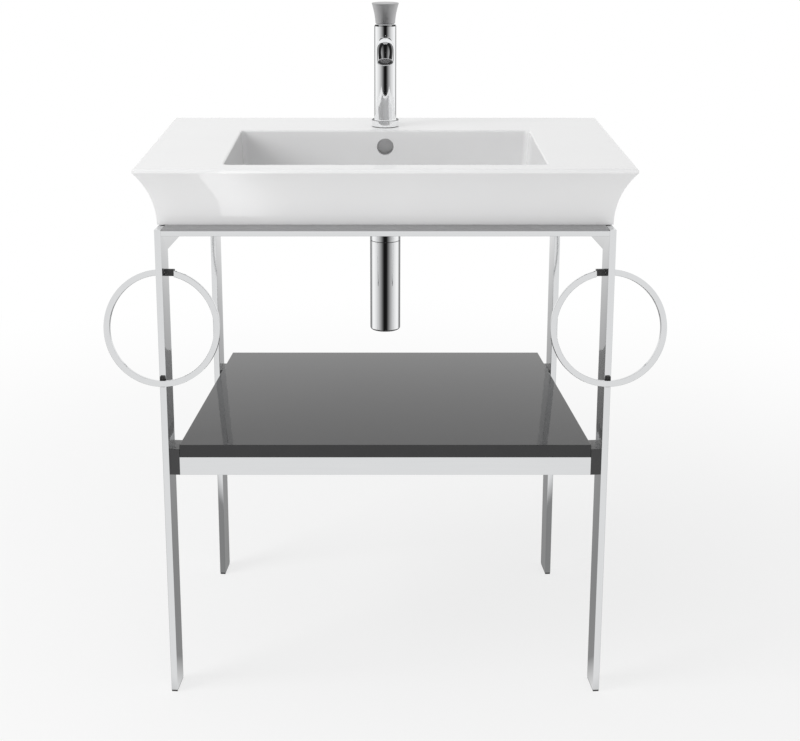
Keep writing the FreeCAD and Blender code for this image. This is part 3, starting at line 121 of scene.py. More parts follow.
def mottle(tree, scale, detail=2.0, stretch=(1, 1, 1)):
    """Noise in metres, stretched along the axes, as one number per point."""
    where = step(tree, "ShaderNodeTexCoord")
    mapping = step(tree, "ShaderNodeMapping", {"Vector": where.outputs["Object"]}, {"Scale": stretch})
    noise = step(tree, "ShaderNodeTexNoise", {"Vector": mapping.outputs["Vector"]},
                 {"Scale": scale, "Detail": detail})
    return noise.outputs["Fac"]


def between(tree, number, low, high, socket):
    """Send a noise number to a socket as a value from low to high."""
    spread = step(tree, "ShaderNodeMapRange", {"Value": number},
                  {"From Min": noise_low, "From Max": noise_high, "To Min": low, "To Max": high})
    tree.links.new(spread.outputs["Result"], socket)


def blend_colours(tree, number, first, second, socket):
    """Send a noise number to a colour socket as a colour between two others."""
    mix = step(tree, "ShaderNodeMix", {"Factor": number}, {"A": (*first, 1), "B": (*second, 1)},
               data_type="RGBA")
    tree.links.new(mix.outputs["Result"], socket)


def roughen(tree, number, shader, strength, depth):
    """A fine bump from a noise number, with its depth in metres."""
    bump = step(tree, "ShaderNodeBump", {"Height": number}, {"Strength": strength, "Distance": depth})
    tree.links.new(bump.outputs["Normal"], shader.inputs["Normal"])


finishes = {}
print("finish helpers ready")

# %% [markdown]
# ### Glaze
# The basin is fired clay under a thick glassy glaze. One glossy white layer could stand for
# both, but the clay scatters light softly while the glaze over it mirrors the room sharply.
# So the shader gets a rough white base and a clear coat. A very shallow waviness keeps its
# reflections from looking like sheet glass.

# %% Glazed ceramic
wave_scale = 55.0
wave_depth = 0.0004
material, tree, shader = start_finish("glazed_ceramic_finish", Roughness=0.35, IOR=1.5,
                                      Coat_Weight=1.0, Coat_Roughness=0.03, Coat_IOR=1.5)
cloud = mottle(tree, scale=9.0)
blend_colours(tree, cloud, (0.79, 0.79, 0.795), (0.83, 0.83, 0.83), shader.inputs["Base Color"])
roughen(tree, mottle(tree, wave_scale), shader, strength=0.05, depth=wave_depth)
finishes["glazed_ceramic"] = material
print("glaze", len(tree.nodes), "nodes")

# %% [markdown]
# ### Bright metals
# The console is polished steel bar and the tap and trap are chrome plate. Both are mirrors:
# what they show is the studio. Polishing leaves faint streaks along a bar. Anisotropic shading
# could draw them, but it needs tangents, which a CAD mesh doesn't have. So the roughness of
# the steel varies in long thin strips, and there is one steel for each way a bar can run.
# Plate is smoother and brighter.

# %% Polished steel and chrome
def bright_metal(name, dark, light, roughness, grain, stretch):
    """A mirror whose colour and roughness change together along its streaks."""
    material, tree, shader = start_finish(name, Metallic=1.0)
    streaks = mottle(tree, grain, detail=4.0, stretch=stretch)
    blend_colours(tree, streaks, dark, light, shader.inputs["Base Color"])
    between(tree, streaks, *roughness, shader.inputs["Roughness"])
    roughen(tree, streaks, shader, strength=0.02, depth=0.0001)
    return material


streak = 0.04
steel_along = {}
for axis, stretch in (("x", (streak, 1, 1)), ("y", (1, streak, 1)), ("z", (1, 1, streak))):
    steel_along[axis] = bright_metal(
        f"polished_steel_{axis}_finish", (0.67, 0.68, 0.69), (0.71, 0.715, 0.72),
        roughness=(0.05, 0.09), grain=240.0, stretch=stretch)
finishes["polished_steel"] = steel_along["z"]
finishes["chrome"] = bright_metal("chrome_finish", (0.86, 0.87, 0.88), (0.92, 0.925, 0.93),
                                  roughness=(0.02, 0.045), grain=90.0, stretch=(1, 1, 0.3))
finishes["satin_steel"] = bright_metal("satin_steel_finish", (0.44, 0.44, 0.445), (0.5, 0.5, 0.505),
                                       roughness=(0.38, 0.46), grain=900.0, stretch=(1, 1, 0.03))
finishes["steel"] = bright_metal("plain_steel_finish", (0.5, 0.5, 0.51), (0.6, 0.6, 0.61),
                                 roughness=(0.2, 0.34), grain=600.0, stretch=(1, 1, 1))
finishes["brass"] = bright_metal("brass_finish", (0.66, 0.49, 0.22), (0.76, 0.58, 0.3),
                                 roughness=(0.2, 0.36), grain=500.0, stretch=(1, 1, 0.2))
print("metals", sorted(finishes))

# %% [markdown]
# ### Gloss lacquer
# The shelf is board under many sanded coats of anthracite lacquer. The colour is nearly black
# and its polished skin is a mirror that grows stronger towards grazing angles, which is why
# the far edge of the shelf looks lighter than the near one. A second coat in the shader would
# mirror too much, so the base layer itself is given a low roughness.

# %% Gloss lacquer
material, tree, shader = start_finish("gloss_lacquer_finish", IOR=1.5)
haze = mottle(tree, scale=30.0, detail=5.0)
blend_colours(tree, haze, (0.010, 0.010, 0.011), (0.016, 0.016, 0.017), shader.inputs["Base Color"])
between(tree, haze, low=0.02, high=0.05, socket=shader.inputs["Roughness"])
roughen(tree, mottle(tree, scale=25.0), shader, strength=0.03, depth=0.0003)
finishes["gloss_lacquer"] = material
print("lacquer", len(tree.nodes), "nodes")

# %% [markdown]
# ### Plastics and rubber
# The connectors are moulded black plastic with a fine spark-eroded grain, the sleeves on the
# rings are painted metal, and the seals are rubber. The grey rubber is also on the bedding
# strips along the rails under the basin, and there its grey is painted shade: the strips stand
# in for the shade under the basin's edge. Grain in the mesh would take millions of faces, so a
# bump draws it. The finishes differ only in colour, gloss and grain, so one function makes them all.

# %% Moulded, painted and rubber finishes
gloss_spread = 0.05


def moulded(name, dark, light, rough, grain, depth):
    """A grained finish, with the depth of its grain in metres."""
    material, tree, shader = start_finish(name)
    speck = mottle(tree, grain, detail=3.0)
    blend_colours(tree, speck, dark, light, shader.inputs["Base Color"])
    between(tree, speck, rough - gloss_spread, rough + gloss_spread, shader.inputs["Roughness"])
    roughen(tree, speck, shader, strength=0.25, depth=depth)
    return material


finishes["black_plastic"] = moulded("black_plastic_finish", (0.020, 0.020, 0.021), (0.032, 0.032, 0.033),
                                    rough=0.18, grain=2600.0, depth=0.00002)
finishes["black_metal"] = moulded("black_metal_finish", (0.006, 0.006, 0.006), (0.012, 0.012, 0.012),
                                  rough=0.35, grain=1500.0, depth=0.00003)
finishes["dark_plastic"] = moulded("dark_plastic_finish", (0.06, 0.06, 0.062), (0.085, 0.085, 0.087),
                                   rough=0.4, grain=2600.0, depth=0.00004)
finishes["white_plastic"] = moulded("white_plastic_finish", (0.76, 0.76, 0.74), (0.82, 0.82, 0.8),
                                    rough=0.35, grain=1800.0, depth=0.00003)
# On the bedding strips under the basin this grey is painted shade; on the jets it is rubber
finishes["grey_rubber"] = moulded("grey_rubber_and_shade_strip_finish", (0.24, 0.24, 0.245), (0.30, 0.30, 0.305),
                                  rough=0.4, grain=1200.0, depth=0.00008)
finishes["black_rubber"] = moulded("black_rubber_finish", (0.012, 0.012, 0.012), (0.022, 0.022, 0.022),
                                   rough=0.62, grain=1200.0, depth=0.00008)
print("finishes", len(finishes))

# %% [markdown]
# ### Dressing the solids
# Each solid arrives with one material, whose name says which finish it should have. The names
# are noted first, and then the finishes take their place. Bars that lie across or run to the
# wall get the steel with streaks that way, and the screws in the painted sleeves are painted too.

# %% Give every solid its finish
slots = {name: solid.data.materials[0].name for name, solid in nodes.items()}
for name, solid in nodes.items():
    solid.data.materials[0] = finishes[slots[name]]
for name in ("front_rail", "back_rail", "shelf_front_rail", "shelf_back_rail"):
    nodes[name].data.materials[0] = steel_along["x"]
for side in ("left", "right"):
    nodes[f"side_rail_{side}"].data.materials[0] = steel_along["y"]
    nodes[f"shelf_side_rail_{side}"].data.materials[0] = steel_along["y"]
    nodes[f"ring_sleeve_screw_{side}"].data.materials[0] = finishes["black_metal"]
print("dressed", len(nodes), "solids")

# %% [markdown]
# ## Eased edges
# A cut bar has no perfectly sharp edge: it is ground off by half a millimetre, and that narrow
# face catches the light. The CAD bars are sharp, so copies of them are bevelled. A Bevel
# modifier would ease the rims of the screw holes as well, so the edges are picked in bmesh,
# and only long ones. A CAD mesh is loose triangles, so each copy is merged first and its flat
# faces are made whole. The edges of the shelf board are round in the CAD already, so none of
# them is sharp enough to be eased, and its copy just gets whole flat faces.

# %% Copies with bevelled edges
merge_distance = 1e-6
flat_angle = math.radians(0.3)
sharp_angle = math.radians(40)
bar_shading_angle = math.radians(20)


def merged_shape(name):
    """The loose triangles of a solid as one joined shape."""
    shape = bmesh.new()
    shape.from_mesh(nodes[name].data)
    bmesh.ops.remove_doubles(shape, verts=shape.verts, dist=merge_distance)
    return shape


def put_in_scene(name, data):
    """A new object for a mesh, a lamp or a camera."""
    holder = bpy.data.objects.new(name, data)
    bpy.context.scene.collection.objects.link(holder)
    return holder


def eased_copy(name, width, shortest):
    """A copy of a solid with its long sharp edges bevelled, riding where the solid rides."""
    solid = nodes[name]
    shape = merged_shape(name)
    bmesh.ops.dissolve_limit(shape, angle_limit=flat_angle, verts=shape.verts, edges=shape.edges)
    sharp = [edge for edge in shape.edges if len(edge.link_faces) == 2
             and edge.calc_face_angle_signed() > sharp_angle and edge.calc_length() > shortest]
    bmesh.ops.bevel(shape, geom=sharp, offset=width, offset_type="OFFSET", segments=2, profile=0.5,
                    affect="EDGES", clamp_overlap=True)
    mesh = bpy.data.meshes.new(f"{name}_eased")
    shape.to_mesh(mesh)
    shape.free()
    for stale in [layer for layer in mesh.attributes if layer.name == "custom_normal"]:
        mesh.attributes.remove(stale)
    mesh.shade_smooth()
    mesh.set_sharp_from_angle(angle=bar_shading_angle)
    mesh.materials.append(solid.data.materials[0])
    piece = put_in_scene(f"{name}_eased", mesh)
    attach(piece, solid["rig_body"])
    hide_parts(name)
    print(name, len(sharp), "edges eased")


print("edges sharper than", round(math.degrees(sharp_angle)), "degrees can be eased")

# %% Bars, board and connectors
bars = ["front_leg_left", "front_leg_right", "back_leg_left", "back_leg_right", "side_rail_left",
        "side_rail_right", "front_rail", "back_rail", "shelf_front_rail", "shelf_back_rail",
        "shelf_side_rail_left", "shelf_side_rail_right"]
for name in bars:
    eased_copy(name, width=0.0006, shortest=0.006)
eased_copy("shelf_board", width=0.0008, shortest=0.006)
for name in ("leg_hooks", "shelf_hangers"):
    eased_copy(name, width=0.0005, shortest=0.004)

# %% [markdown]
# ## Socket screws
# The bars are held by countersunk screws with a hexagon socket. They could be modelled one by
# one, but all of them are one shape in several sizes, so Geometry Nodes make them: a cone and
# a shank are joined, a six-sided prism is cut out of the head, and the screw is put on every
# point along that point's own direction. The points come from the CAD screws: the longest
# direction of each one is its axis, and the wider end is its head.

# %% Where the screws sit
end_slice = 1e-4


def islands_of(shape):
    """The separate pieces of a shape, each as the places of its corners."""
    left, found = set(shape.verts), []
    for start in shape.verts:
        if start not in left:
            continue
        left.remove(start)
        island, waiting = [start], [start]
        while waiting:
            for edge in waiting.pop().link_edges:
                for corner in edge.verts:
                    if corner in left:
                        left.remove(corner)
                        island.append(corner)
                        waiting.append(corner)
        found.append(np.array([corner.co for corner in island]))
    return found


def screws_of(name):
    """Head centre, outward direction, length and head radius of each screw in a node."""
    shape = merged_shape(name)
    found = []
    for places in islands_of(shape):
        middle = places.mean(0)
        axis = np.linalg.svd(places - middle, full_matrices=False)[2][0]
        along = (places - middle) @ axis
        off = np.linalg.norm(places - middle - np.outer(along, axis), axis=1)
        if off[along > along.max() - end_slice].max() < off[along < along.min() + end_slice].max():
            axis, along = -axis, -along
        found.append((middle + axis * along.max(), axis, along.max() - along.min(), off.max()))
    shape.free()
    return found


screws = {name: screws_of(name) for name in ("frame_screws", "hook_screws", "hanger_screws")}
for name, spots in screws.items():
    print(name, len(spots), "length", round(spots[0][2], 4), "head radius", round(spots[0][3], 4))

# %% Trees that put a shape on points
def new_tree(name, inputs):
    """A Geometry Nodes tree with a geometry in and out and further named inputs."""
    tree = bpy.data.node_groups.new(name, "GeometryNodeTree")
    tree.interface.new_socket("Geometry", in_out="INPUT", socket_type="NodeSocketGeometry")
    for label, kind in inputs:
        tree.interface.new_socket(label, in_out="INPUT", socket_type=f"NodeSocket{kind}")
    tree.interface.new_socket("Geometry", in_out="OUTPUT", socket_type="NodeSocketGeometry")
    return tree, tree.nodes.new("NodeGroupInput").outputs, tree.nodes.new("NodeGroupOutput")


def lifted(tree, geometry, height):
    """A geometry moved up its own axis."""
    spot = step(tree, "ShaderNodeCombineXYZ", {"Z": height})
    moved = step(tree, "GeometryNodeTransform", {"Geometry": geometry, "Translation": spot.outputs[0]})
    return moved.outputs[0]


def put_on_points(tree, given, shape, result):
    """The end of a tree: the shape on every point, turned outward, made real and dressed."""
    outward = step(tree, "GeometryNodeInputNamedAttribute", {}, {"Name": "outward"},
                   data_type="FLOAT_VECTOR")
    turn = step(tree, "FunctionNodeAlignRotationToVector", {"Vector": outward.outputs["Attribute"]},
                axis="Z")
    placed = step(tree, "GeometryNodeInstanceOnPoints", {
        "Points": given["Geometry"], "Instance": shape, "Rotation": turn.outputs["Rotation"]})
    real = step(tree, "GeometryNodeRealizeInstances", {"Geometry": placed.outputs["Instances"]})
    dressed = step(tree, "GeometryNodeSetMaterial", {
        "Geometry": real.outputs["Geometry"], "Material": given["Finish"]})
    tree.links.new(dressed.outputs["Geometry"], result.inputs["Geometry"])
    print(tree.name, len(tree.nodes), "nodes")


print("tree helpers ready")

# %% [markdown]
# The head's cone ends at its own foot, and the shank starts a little higher and is a little
# thinner, so that the two cross cleanly before they are joined. The prism is twice as long as
# the socket is deep, because half of it stands above the head.

# %% The screw tree
shank_start = 0.8
shank_slack = 0.96
tree, size, result = new_tree("socket_screws", [
    ("Head Radius", "Float"), ("Head Height", "Float"), ("Shank Radius", "Float"), ("Length", "Float"),
    ("Socket Radius", "Float"), ("Socket Depth", "Float"), ("Finish", "Material")])
cone = step(tree, "GeometryNodeMeshCone", {
    "Radius Bottom": size["Shank Radius"], "Radius Top": size["Head Radius"],
    "Depth": size["Head Height"]}, {"Vertices": 32})
head = lifted(tree, cone.outputs["Mesh"], calc(tree, "MULTIPLY", size["Head Height"], -1.0))
covered = calc(tree, "MULTIPLY", size["Head Height"], shank_start)
rest = calc(tree, "SUBTRACT", size["Length"], covered)
thin = calc(tree, "MULTIPLY", size["Shank Radius"], shank_slack)
rod = step(tree, "GeometryNodeMeshCylinder", {"Depth": rest, "Radius": thin}, {"Vertices": 24})
sunk = calc(tree, "SUBTRACT", calc(tree, "MULTIPLY", rest, 0.5), size["Length"])
shank = lifted(tree, rod.outputs["Mesh"], sunk)
joined = step(tree, "GeometryNodeMeshBoolean", {"Mesh 2": [head, shank]}, operation="UNION")
twice_deep = calc(tree, "MULTIPLY", size["Socket Depth"], 2.0)
prism = step(tree, "GeometryNodeMeshCylinder", {
    "Radius": size["Socket Radius"], "Depth": twice_deep}, {"Vertices": 6})
screw = step(tree, "GeometryNodeMeshBoolean", {
    "Mesh 1": joined.outputs["Mesh"], "Mesh 2": prism.outputs["Mesh"]}, operation="DIFFERENCE")
put_on_points(tree, size, screw.outputs["Mesh"], result)
screw_tree = tree

# %% Run a tree on points
grown_shading_angle = math.radians(25)


def grown(name, tree, spots, directions, values):
    """Run a tree on points that carry a direction, and return the result as a plain mesh object."""
    seed = bpy.data.meshes.new(f"{name}_points")
    seed.from_pydata([tuple(spot) for spot in spots], [], [])
    layer = seed.attributes.new("outward", "FLOAT_VECTOR", "POINT")
    layer.data.foreach_set("vector", np.array(directions, float).ravel())
    holder = put_in_scene(f"{name}_points", seed)
    modifier = holder.modifiers.new("tree", "NODES")
    modifier.node_group = tree
    for item in tree.interface.items_tree:
        if item.in_out == "INPUT" and item.name in values:
            modifier[item.identifier] = values[item.name]
    view = bpy.context.evaluated_depsgraph_get()
    mesh = bpy.data.meshes.new_from_object(holder.evaluated_get(view))
    holder.modifiers.clear()
    bpy.data.objects.remove(holder)
    mesh.name = name
    mesh.shade_smooth()
    mesh.set_sharp_from_angle(angle=grown_shading_angle)
    return put_in_scene(name, mesh)


print("points can be grown")

# %% Screws on their points
socket_radius_share = 0.38
socket_depth_share = 0.4
for node, spots in screws.items():
    # The screws of a set differ in their last digits only, so the smallest one stands for all
    length, head_radius = min(spots, key=lambda spot: spot[3])[2:]
    piece = grown(f"socket_{node}", screw_tree, [spot[0] for spot in spots], [spot[1] for spot in spots], {
        "Head Radius": head_radius, "Head Height": head_radius / 2, "Shank Radius": head_radius / 2,
        "Length": length, "Socket Radius": head_radius * socket_radius_share,
        "Socket Depth": head_radius * socket_depth_share, "Finish": nodes[node].data.materials[0]})
    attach(piece, nodes[node]["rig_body"])
    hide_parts(node)
    print(piece.name, len(spots), "screws", len(piece.data.polygons), "faces")

# %% [markdown]
# ## Jets of the aerator
# The water leaves the spout through a soft plate with rows of small nozzles. They stand on
# rings round the middle of the plate, which is a rule of the same kind: the rings' points are
# worked out here, and one tapered nozzle is put on each of them.

# %% Nozzle tree
tree, size, result = new_tree("aerator_jets", [
    ("Foot Radius", "Float"), ("Tip Radius", "Float"), ("Height", "Float"), ("Bore Radius", "Float"),
    ("Finish", "Material")])
cone = step(tree, "GeometryNodeMeshCone", {
    "Radius Bottom": size["Foot Radius"], "Radius Top": size["Tip Radius"],
    "Depth": size["Height"]}, {"Vertices": 12})
bore = step(tree, "GeometryNodeMeshCylinder", {
    "Radius": size["Bore Radius"], "Depth": size["Height"]}, {"Vertices": 8})
raised_bore = lifted(tree, bore.outputs["Mesh"], size["Height"])
nozzle = step(tree, "GeometryNodeMeshBoolean", {
    "Mesh 1": cone.outputs["Mesh"], "Mesh 2": raised_bore}, operation="DIFFERENCE")
put_on_points(tree, size, nozzle.outputs["Mesh"], result)
jet_tree = tree

# %% Nozzles on the plate
spout_dip = math.radians(57)
lip_depth = 0.0015
jet_rings = ((0.0034, 6), (0.0066, 12))
jet_sizes = {"Foot Radius": 0.0012, "Tip Radius": 0.0008, "Height": 0.0013, "Bore Radius": 0.0005}
corners = np.array([corner.co for corner in nodes["aerator"].data.vertices])
spray = np.array([0, -math.cos(spout_dip), -math.sin(spout_dip)])
upward = np.array([0, -math.sin(spout_dip), math.cos(spout_dip)])
across = np.array([1, 0, 0])
lip_height = (corners @ spray).max()
axis_height = ((corners @ upward).max() + (corners @ upward).min()) / 2
plate_centre = spray * (lip_height - lip_depth) + upward * axis_height
jet_spots = [plate_centre]
for ring_radius, count in jet_rings:
    for number in range(count):
        angle = 2 * math.pi * number / count
        jet_spots.append(plate_centre + ring_radius * (math.cos(angle) * across + math.sin(angle) * upward))
jets = grown("aerator_jets", jet_tree, jet_spots, [spray] * len(jet_spots),
             {**jet_sizes, "Finish": finishes["grey_rubber"]})
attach(jets, nodes["aerator"]["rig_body"])
print("jets", len(jet_spots), "plate centre", [round(float(v), 4) for v in plate_centre])

# %% [markdown]
# ## Studio
# The floor and the world are plain white to the eye and to mirrors, so both carry a Light
# Path switch: camera, glossy and transmission rays see white, while the light that falls on
# the object stays at a plain level. Near the object a quarter of the floor is left matt, to
# keep the shadow. Further out that share fades away, so that no horizon shows.

# %% World
room_light = 0.5
seen_light = 1.0


def seen_directly(tree):
    """1 for camera, glossy and transmission rays, 0 for the others."""
    path = step(tree, "ShaderNodeLightPath").outputs
    eye_or_mirror = calc(tree, "MAXIMUM", path["Is Camera Ray"], path["Is Glossy Ray"])
    return calc(tree, "MAXIMUM", eye_or_mirror, path["Is Transmission Ray"])


world = bpy.data.worlds.new("studio")
bpy.context.scene.world = world
world.use_nodes = True
tree = world.node_tree
room = tree.nodes["Background"]
room.inputs["Color"].default_value = (1, 1, 1, 1)
room.inputs["Strength"].default_value = room_light
white = step(tree, "ShaderNodeBackground", {}, {"Color": (1, 1, 1, 1), "Strength": seen_light})
switch = step(tree, "ShaderNodeMixShader", {
    0: seen_directly(tree), 1: room.outputs["Background"], 2: white.outputs["Background"]})
tree.links.new(switch.outputs["Shader"], tree.nodes["World Output"].inputs["Surface"])
print("world light", room_light, "seen as", seen_light)

# %% Floor
floor_half = 12.0
white_share_near = 0.75
fade_start, fade_end = 0.5, 2.2


def square(half, height):
    """The corners of a level square round the origin."""
    return [(x * half, y * half, height) for x, y in ((-1, -1), (1, -1), (1, 1), (-1, 1))]


mesh = bpy.data.meshes.new("floor")
mesh.from_pydata(square(floor_half, 0), [], [(0, 1, 2, 3)])
floor = put_in_scene("floor", mesh)
material, tree, matt = start_finish("pale_floor", Base_Color=(0.82, 0.82, 0.82, 1), Roughness=0.9,
                                    Specular_IOR_Level=0.0)
glow = step(tree, "ShaderNodeEmission", {}, {"Strength": seen_light})
where = step(tree, "ShaderNodeTexCoord")
reach = step(tree, "ShaderNodeVectorMath", {0: where.outputs["Object"]}, operation="LENGTH")
fade = step(tree, "ShaderNodeMapRange", {"Value": reach.outputs["Value"]}, {
    "From Min": fade_start, "From Max": fade_end, "To Min": white_share_near, "To Max": 1.0},
    interpolation_type="SMOOTHSTEP")
share = calc(tree, "MULTIPLY", seen_directly(tree), fade.outputs["Result"])
switch = step(tree, "ShaderNodeMixShader", {0: share, 1: matt.outputs["BSDF"], 2: glow.outputs["Emission"]})
tree.links.new(switch.outputs["Shader"], tree.nodes["Material Output"].inputs["Surface"])
mesh.materials.append(material)
print("floor", 2 * floor_half, "m")

# %% [markdown]
# ### What the mirrors see
# A mirror in an all-white room looks like white paper. A studio photographer hangs cards round
# a chrome tap, so that its curve shows: dark in front, rising to white at the sides, with a
# dark edge from behind. Cards close to the object would also show in the shelf and the rim.
# So the set stands under a wide dome and on a floor card, which only exist for glossy rays, as
# the visibility switches of the objects say. No camera ray meets them: Incoming is the way
# back along a mirror's ray, and its start is the point that was hit, plus the ray's length
# along that way. So the dome can show the tap, the trap and the skirt a tone for every
# direction, and be clear to all other rays, and to a ray that has met a second mirror.

# %% Where a mirror's ray comes from
only_first_mirror = 1.5


def ray_of(tree):
    """Where a ray starts, which way it goes, and 1 where it comes from a first mirror."""
    path = step(tree, "ShaderNodeLightPath").outputs
    hit = step(tree, "ShaderNodeNewGeometry").outputs
    start = step(tree, "ShaderNodeVectorMath", {
        0: hit["Incoming"], 1: path["Ray Length"], 2: hit["Position"]}, operation="MULTIPLY_ADD")
    place = step(tree, "ShaderNodeSeparateXYZ", {0: start.outputs["Vector"]}).outputs
    back = step(tree, "ShaderNodeSeparateXYZ", {0: hit["Incoming"]}).outputs
    way = {axis: calc(tree, "MULTIPLY", back[axis], -1.0) for axis in "XYZ"}
    return place, way, calc(tree, "LESS_THAN", path["Glossy Depth"], only_first_mirror)


def product(tree, *numbers):
    """All the numbers multiplied."""
    total = numbers[0]
    for number in numbers[1:]:
        total = calc(tree, "MULTIPLY", total, number)
    return total


def within(tree, place, space):
    """1 for a start in an upright cylinder: x, y, radius, lowest and highest z."""
    x, y, radius, lowest, highest = space
    flat = step(tree, "ShaderNodeCombineXYZ", {"X": place["X"], "Y": place["Y"]})
    off_axis = step(tree, "ShaderNodeVectorMath", {0: flat.outputs["Vector"]}, {1: (x, y, 0)},
                    operation="DISTANCE")
    near = calc(tree, "LESS_THAN", off_axis.outputs["Value"], radius)
    above = calc(tree, "GREATER_THAN", place["Z"], lowest)
    return product(tree, near, above, calc(tree, "LESS_THAN", place["Z"], highest))


print("ray helpers ready")

# %% Tones from angles
def turn_of(tree, axes):
    """The angle of a direction round an upright axis: 0 in front, 1 behind."""
    forward = calc(tree, "MULTIPLY", axes["Y"], -1.0)
    angle = calc(tree, "ABSOLUTE", calc(tree, "ARCTAN2", axes["X"], forward))
    return calc(tree, "DIVIDE", angle, math.pi)


def ramp(tree, number, stops):
    """Tones at places from 0 to 1."""
    scale = step(tree, "ShaderNodeValToRGB", {"Fac": number})
    band = scale.color_ramp
    while len(band.elements) < len(stops):
        band.elements.new(0.5)
    for element, (place, tone) in zip(band.elements, stops):
        element.position = place
        element.color = (tone, tone, tone, 1)
    return scale.outputs["Color"]


def smooth(tree, number, start, end):
    """A number that goes from 0 at the start to 1 at the end."""
    rise = step(tree, "ShaderNodeMapRange", {"Value": number}, {"From Min": start, "From Max": end},
                interpolation_type="SMOOTHSTEP")
    return rise.outputs["Result"]


print("tone helpers ready")

# %% [markdown]
# The trap is an upright cylinder, so its tones follow the angle alone. On the tap, the dark
# stripe in front runs on overhead at an even width, and a dark band goes round the sides and
# the back a little above the level: together they draw the dark line along the spout and the
# two arcs beside it. The handle gets none of the overhead stripe, the band and the dark edge,
# so its top stays light. The rises below are heights or depths of a direction of length 1.

# %% Tones of the tap and the trap
front_tones = [(0.0, 0.008), (0.06, 0.01), (0.115, 0.11), (0.23, 0.42), (0.36, 0.74), (0.51, 0.96),
               (0.6, 1.0)]
tap_back_tones = [(0.68, 1.0), (0.72, 0.9), (0.78, 0.3), (1.0, 0.2)]
trap_tones = front_tones + [(0.66, 0.9), (0.70, 0.28), (1.0, 0.12)]
overhead_rise = (0.42, 0.57)
behind_rise = (0.0, 0.08)
band_foot, band_top = (0.2, 0.3), (0.77, 0.70)
band_sides = [(0.3, 0.0), (0.42, 1.0)]
band_tone = 0.02
handle_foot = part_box("tap_handle")[0].z - 0.002


def tap_tone(tree, place, way):
    """The front stripe and its way overhead, then the dark edge and the band behind."""
    sideways = calc(tree, "MINIMUM", calc(tree, "ABSOLUTE", way["X"]), 1.0)
    stripe = ramp(tree, calc(tree, "DIVIDE", calc(tree, "ARCSINE", sideways), math.pi), front_tones)
    turn = turn_of(tree, way)
    overhead = smooth(tree, way["Z"], *overhead_rise)
    level = calc(tree, "SUBTRACT", 1.0, overhead)
    on_handle = calc(tree, "GREATER_THAN", place["Z"], handle_foot)
    off_handle = calc(tree, "SUBTRACT", 1.0, on_handle)
    stripe = calc(tree, "MAXIMUM", stripe, product(tree, on_handle, overhead))
    wall = calc(tree, "MAXIMUM", stripe, product(tree, smooth(tree, way["Y"], *behind_rise), level))
    no_edge = calc(tree, "MAXIMUM", overhead, on_handle)
    edge = calc(tree, "MAXIMUM", ramp(tree, turn, tap_back_tones), no_edge)
    wall = calc(tree, "MINIMUM", wall, edge)
    band = product(tree, ramp(tree, turn, band_sides), smooth(tree, way["Z"], *band_foot),
                   smooth(tree, way["Z"], *band_top), off_handle)
    return calc(tree, "MINIMUM", wall, calc(tree, "SUBTRACT", 1.0 + band_tone, band))


def trap_tone(tree, way):
    """One tone for each angle round the trap."""
    return ramp(tree, turn_of(tree, way), trap_tones)


print("tap and trap tones ready, handle from", round(handle_foot, 4), "m")

# %% [markdown]
# The glaze of the skirt shows one soft box, left of the middle: a light patch with a clear edge
# on its left, which bends with the flare of the skirt, and a soft one on its right. A lamp of
# that shape would light the rest of the basin too. So the patch is laid out 0.3 m from the
# skirt, along the rays, and bends where they point down.

# %% Tone of the skirt
patch_distance = 0.3
patch_edge = -0.278
patch_bend = -0.034
bend_power = 6.0
patch_width = 0.12
patch_light = 2.0
patch_fall = [(0.0, 0.0), (0.02, 1.0), (0.3, 0.92), (0.5, 0.72), (0.75, 0.25), (1.0, 0.0)]


def skirt_tone(tree, place, way):
    """White all over, and brighter on the patch."""
    ahead = calc(tree, "ADD", place["X"], calc(tree, "MULTIPLY", way["X"], patch_distance))
    bend = calc(tree, "MULTIPLY", calc(tree, "POWER", way["Z"], bend_power), patch_bend)
    inward = calc(tree, "SUBTRACT", ahead, calc(tree, "ADD", bend, patch_edge))
    fall = ramp(tree, calc(tree, "DIVIDE", inward, patch_width), patch_fall)
    return calc(tree, "ADD", calc(tree, "MULTIPLY", fall, patch_light), 1.0)


print("skirt tone ready, patch", patch_width, "m wide")

# %% [markdown]
# A ray belongs to the mirror whose space it starts in. Each space is an upright cylinder round
# a CAD piece. The one of the skirt starts just above the front rail, which would else turn
# white, and only its front part counts there, for rays that point down.

# %% All mirrors together
tap_reach, tap_top = 0.115, 1.1
trap_reach, trap_low, trap_high = 0.1, 0.5, 0.72
skirt_reach, skirt_back = 0.6, -0.2
above_deck, above_rail = 0.001, 0.003
base_low, base_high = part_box("tap_base_ring")
tap_space = (0.0, (base_low.y + base_high.y) / 2, tap_reach, base_low.z + above_deck, tap_top)
cup_low, cup_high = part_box("trap_cup")
trap_space = (0.0, (cup_low.y + cup_high.y) / 2, trap_reach, trap_low, trap_high)
skirt_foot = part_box("front_rail")[1].z + above_rail
skirt_space = (0.0, 0.0, skirt_reach, skirt_foot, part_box("basin")[1].z)


def mirror_tone(tree):
    """The tone of a ray from one of the three mirrors, and 1 where there is one."""
    place, way, first = ray_of(tree)
    on_tap = within(tree, place, tap_space)
    on_trap = within(tree, place, trap_space)
    in_front = calc(tree, "LESS_THAN", place["Y"], skirt_back)
    downward = calc(tree, "LESS_THAN", way["Z"], 0.0)
    on_skirt = product(tree, within(tree, place, skirt_space), in_front, downward)
    tone = calc(tree, "ADD", product(tree, on_tap, tap_tone(tree, place, way)),
                product(tree, on_trap, trap_tone(tree, way)))
    tone = calc(tree, "ADD", tone, product(tree, on_skirt, skirt_tone(tree, place, way)))
    any_of_them = calc(tree, "MAXIMUM", on_tap, calc(tree, "MAXIMUM", on_trap, on_skirt))
    return tone, product(tree, first, any_of_them)


print("tap", tap_space, "trap", trap_space, "skirt", skirt_space)

# %% [markdown]
# The legs and rings mirror the floor as well: their inner faces show the floor behind the
# console, and their eased edges the floor beside it. For them the floor card is grey near the
# object and white further off, so that the bars read as metal with a bright front. In front of
# the object it is white.

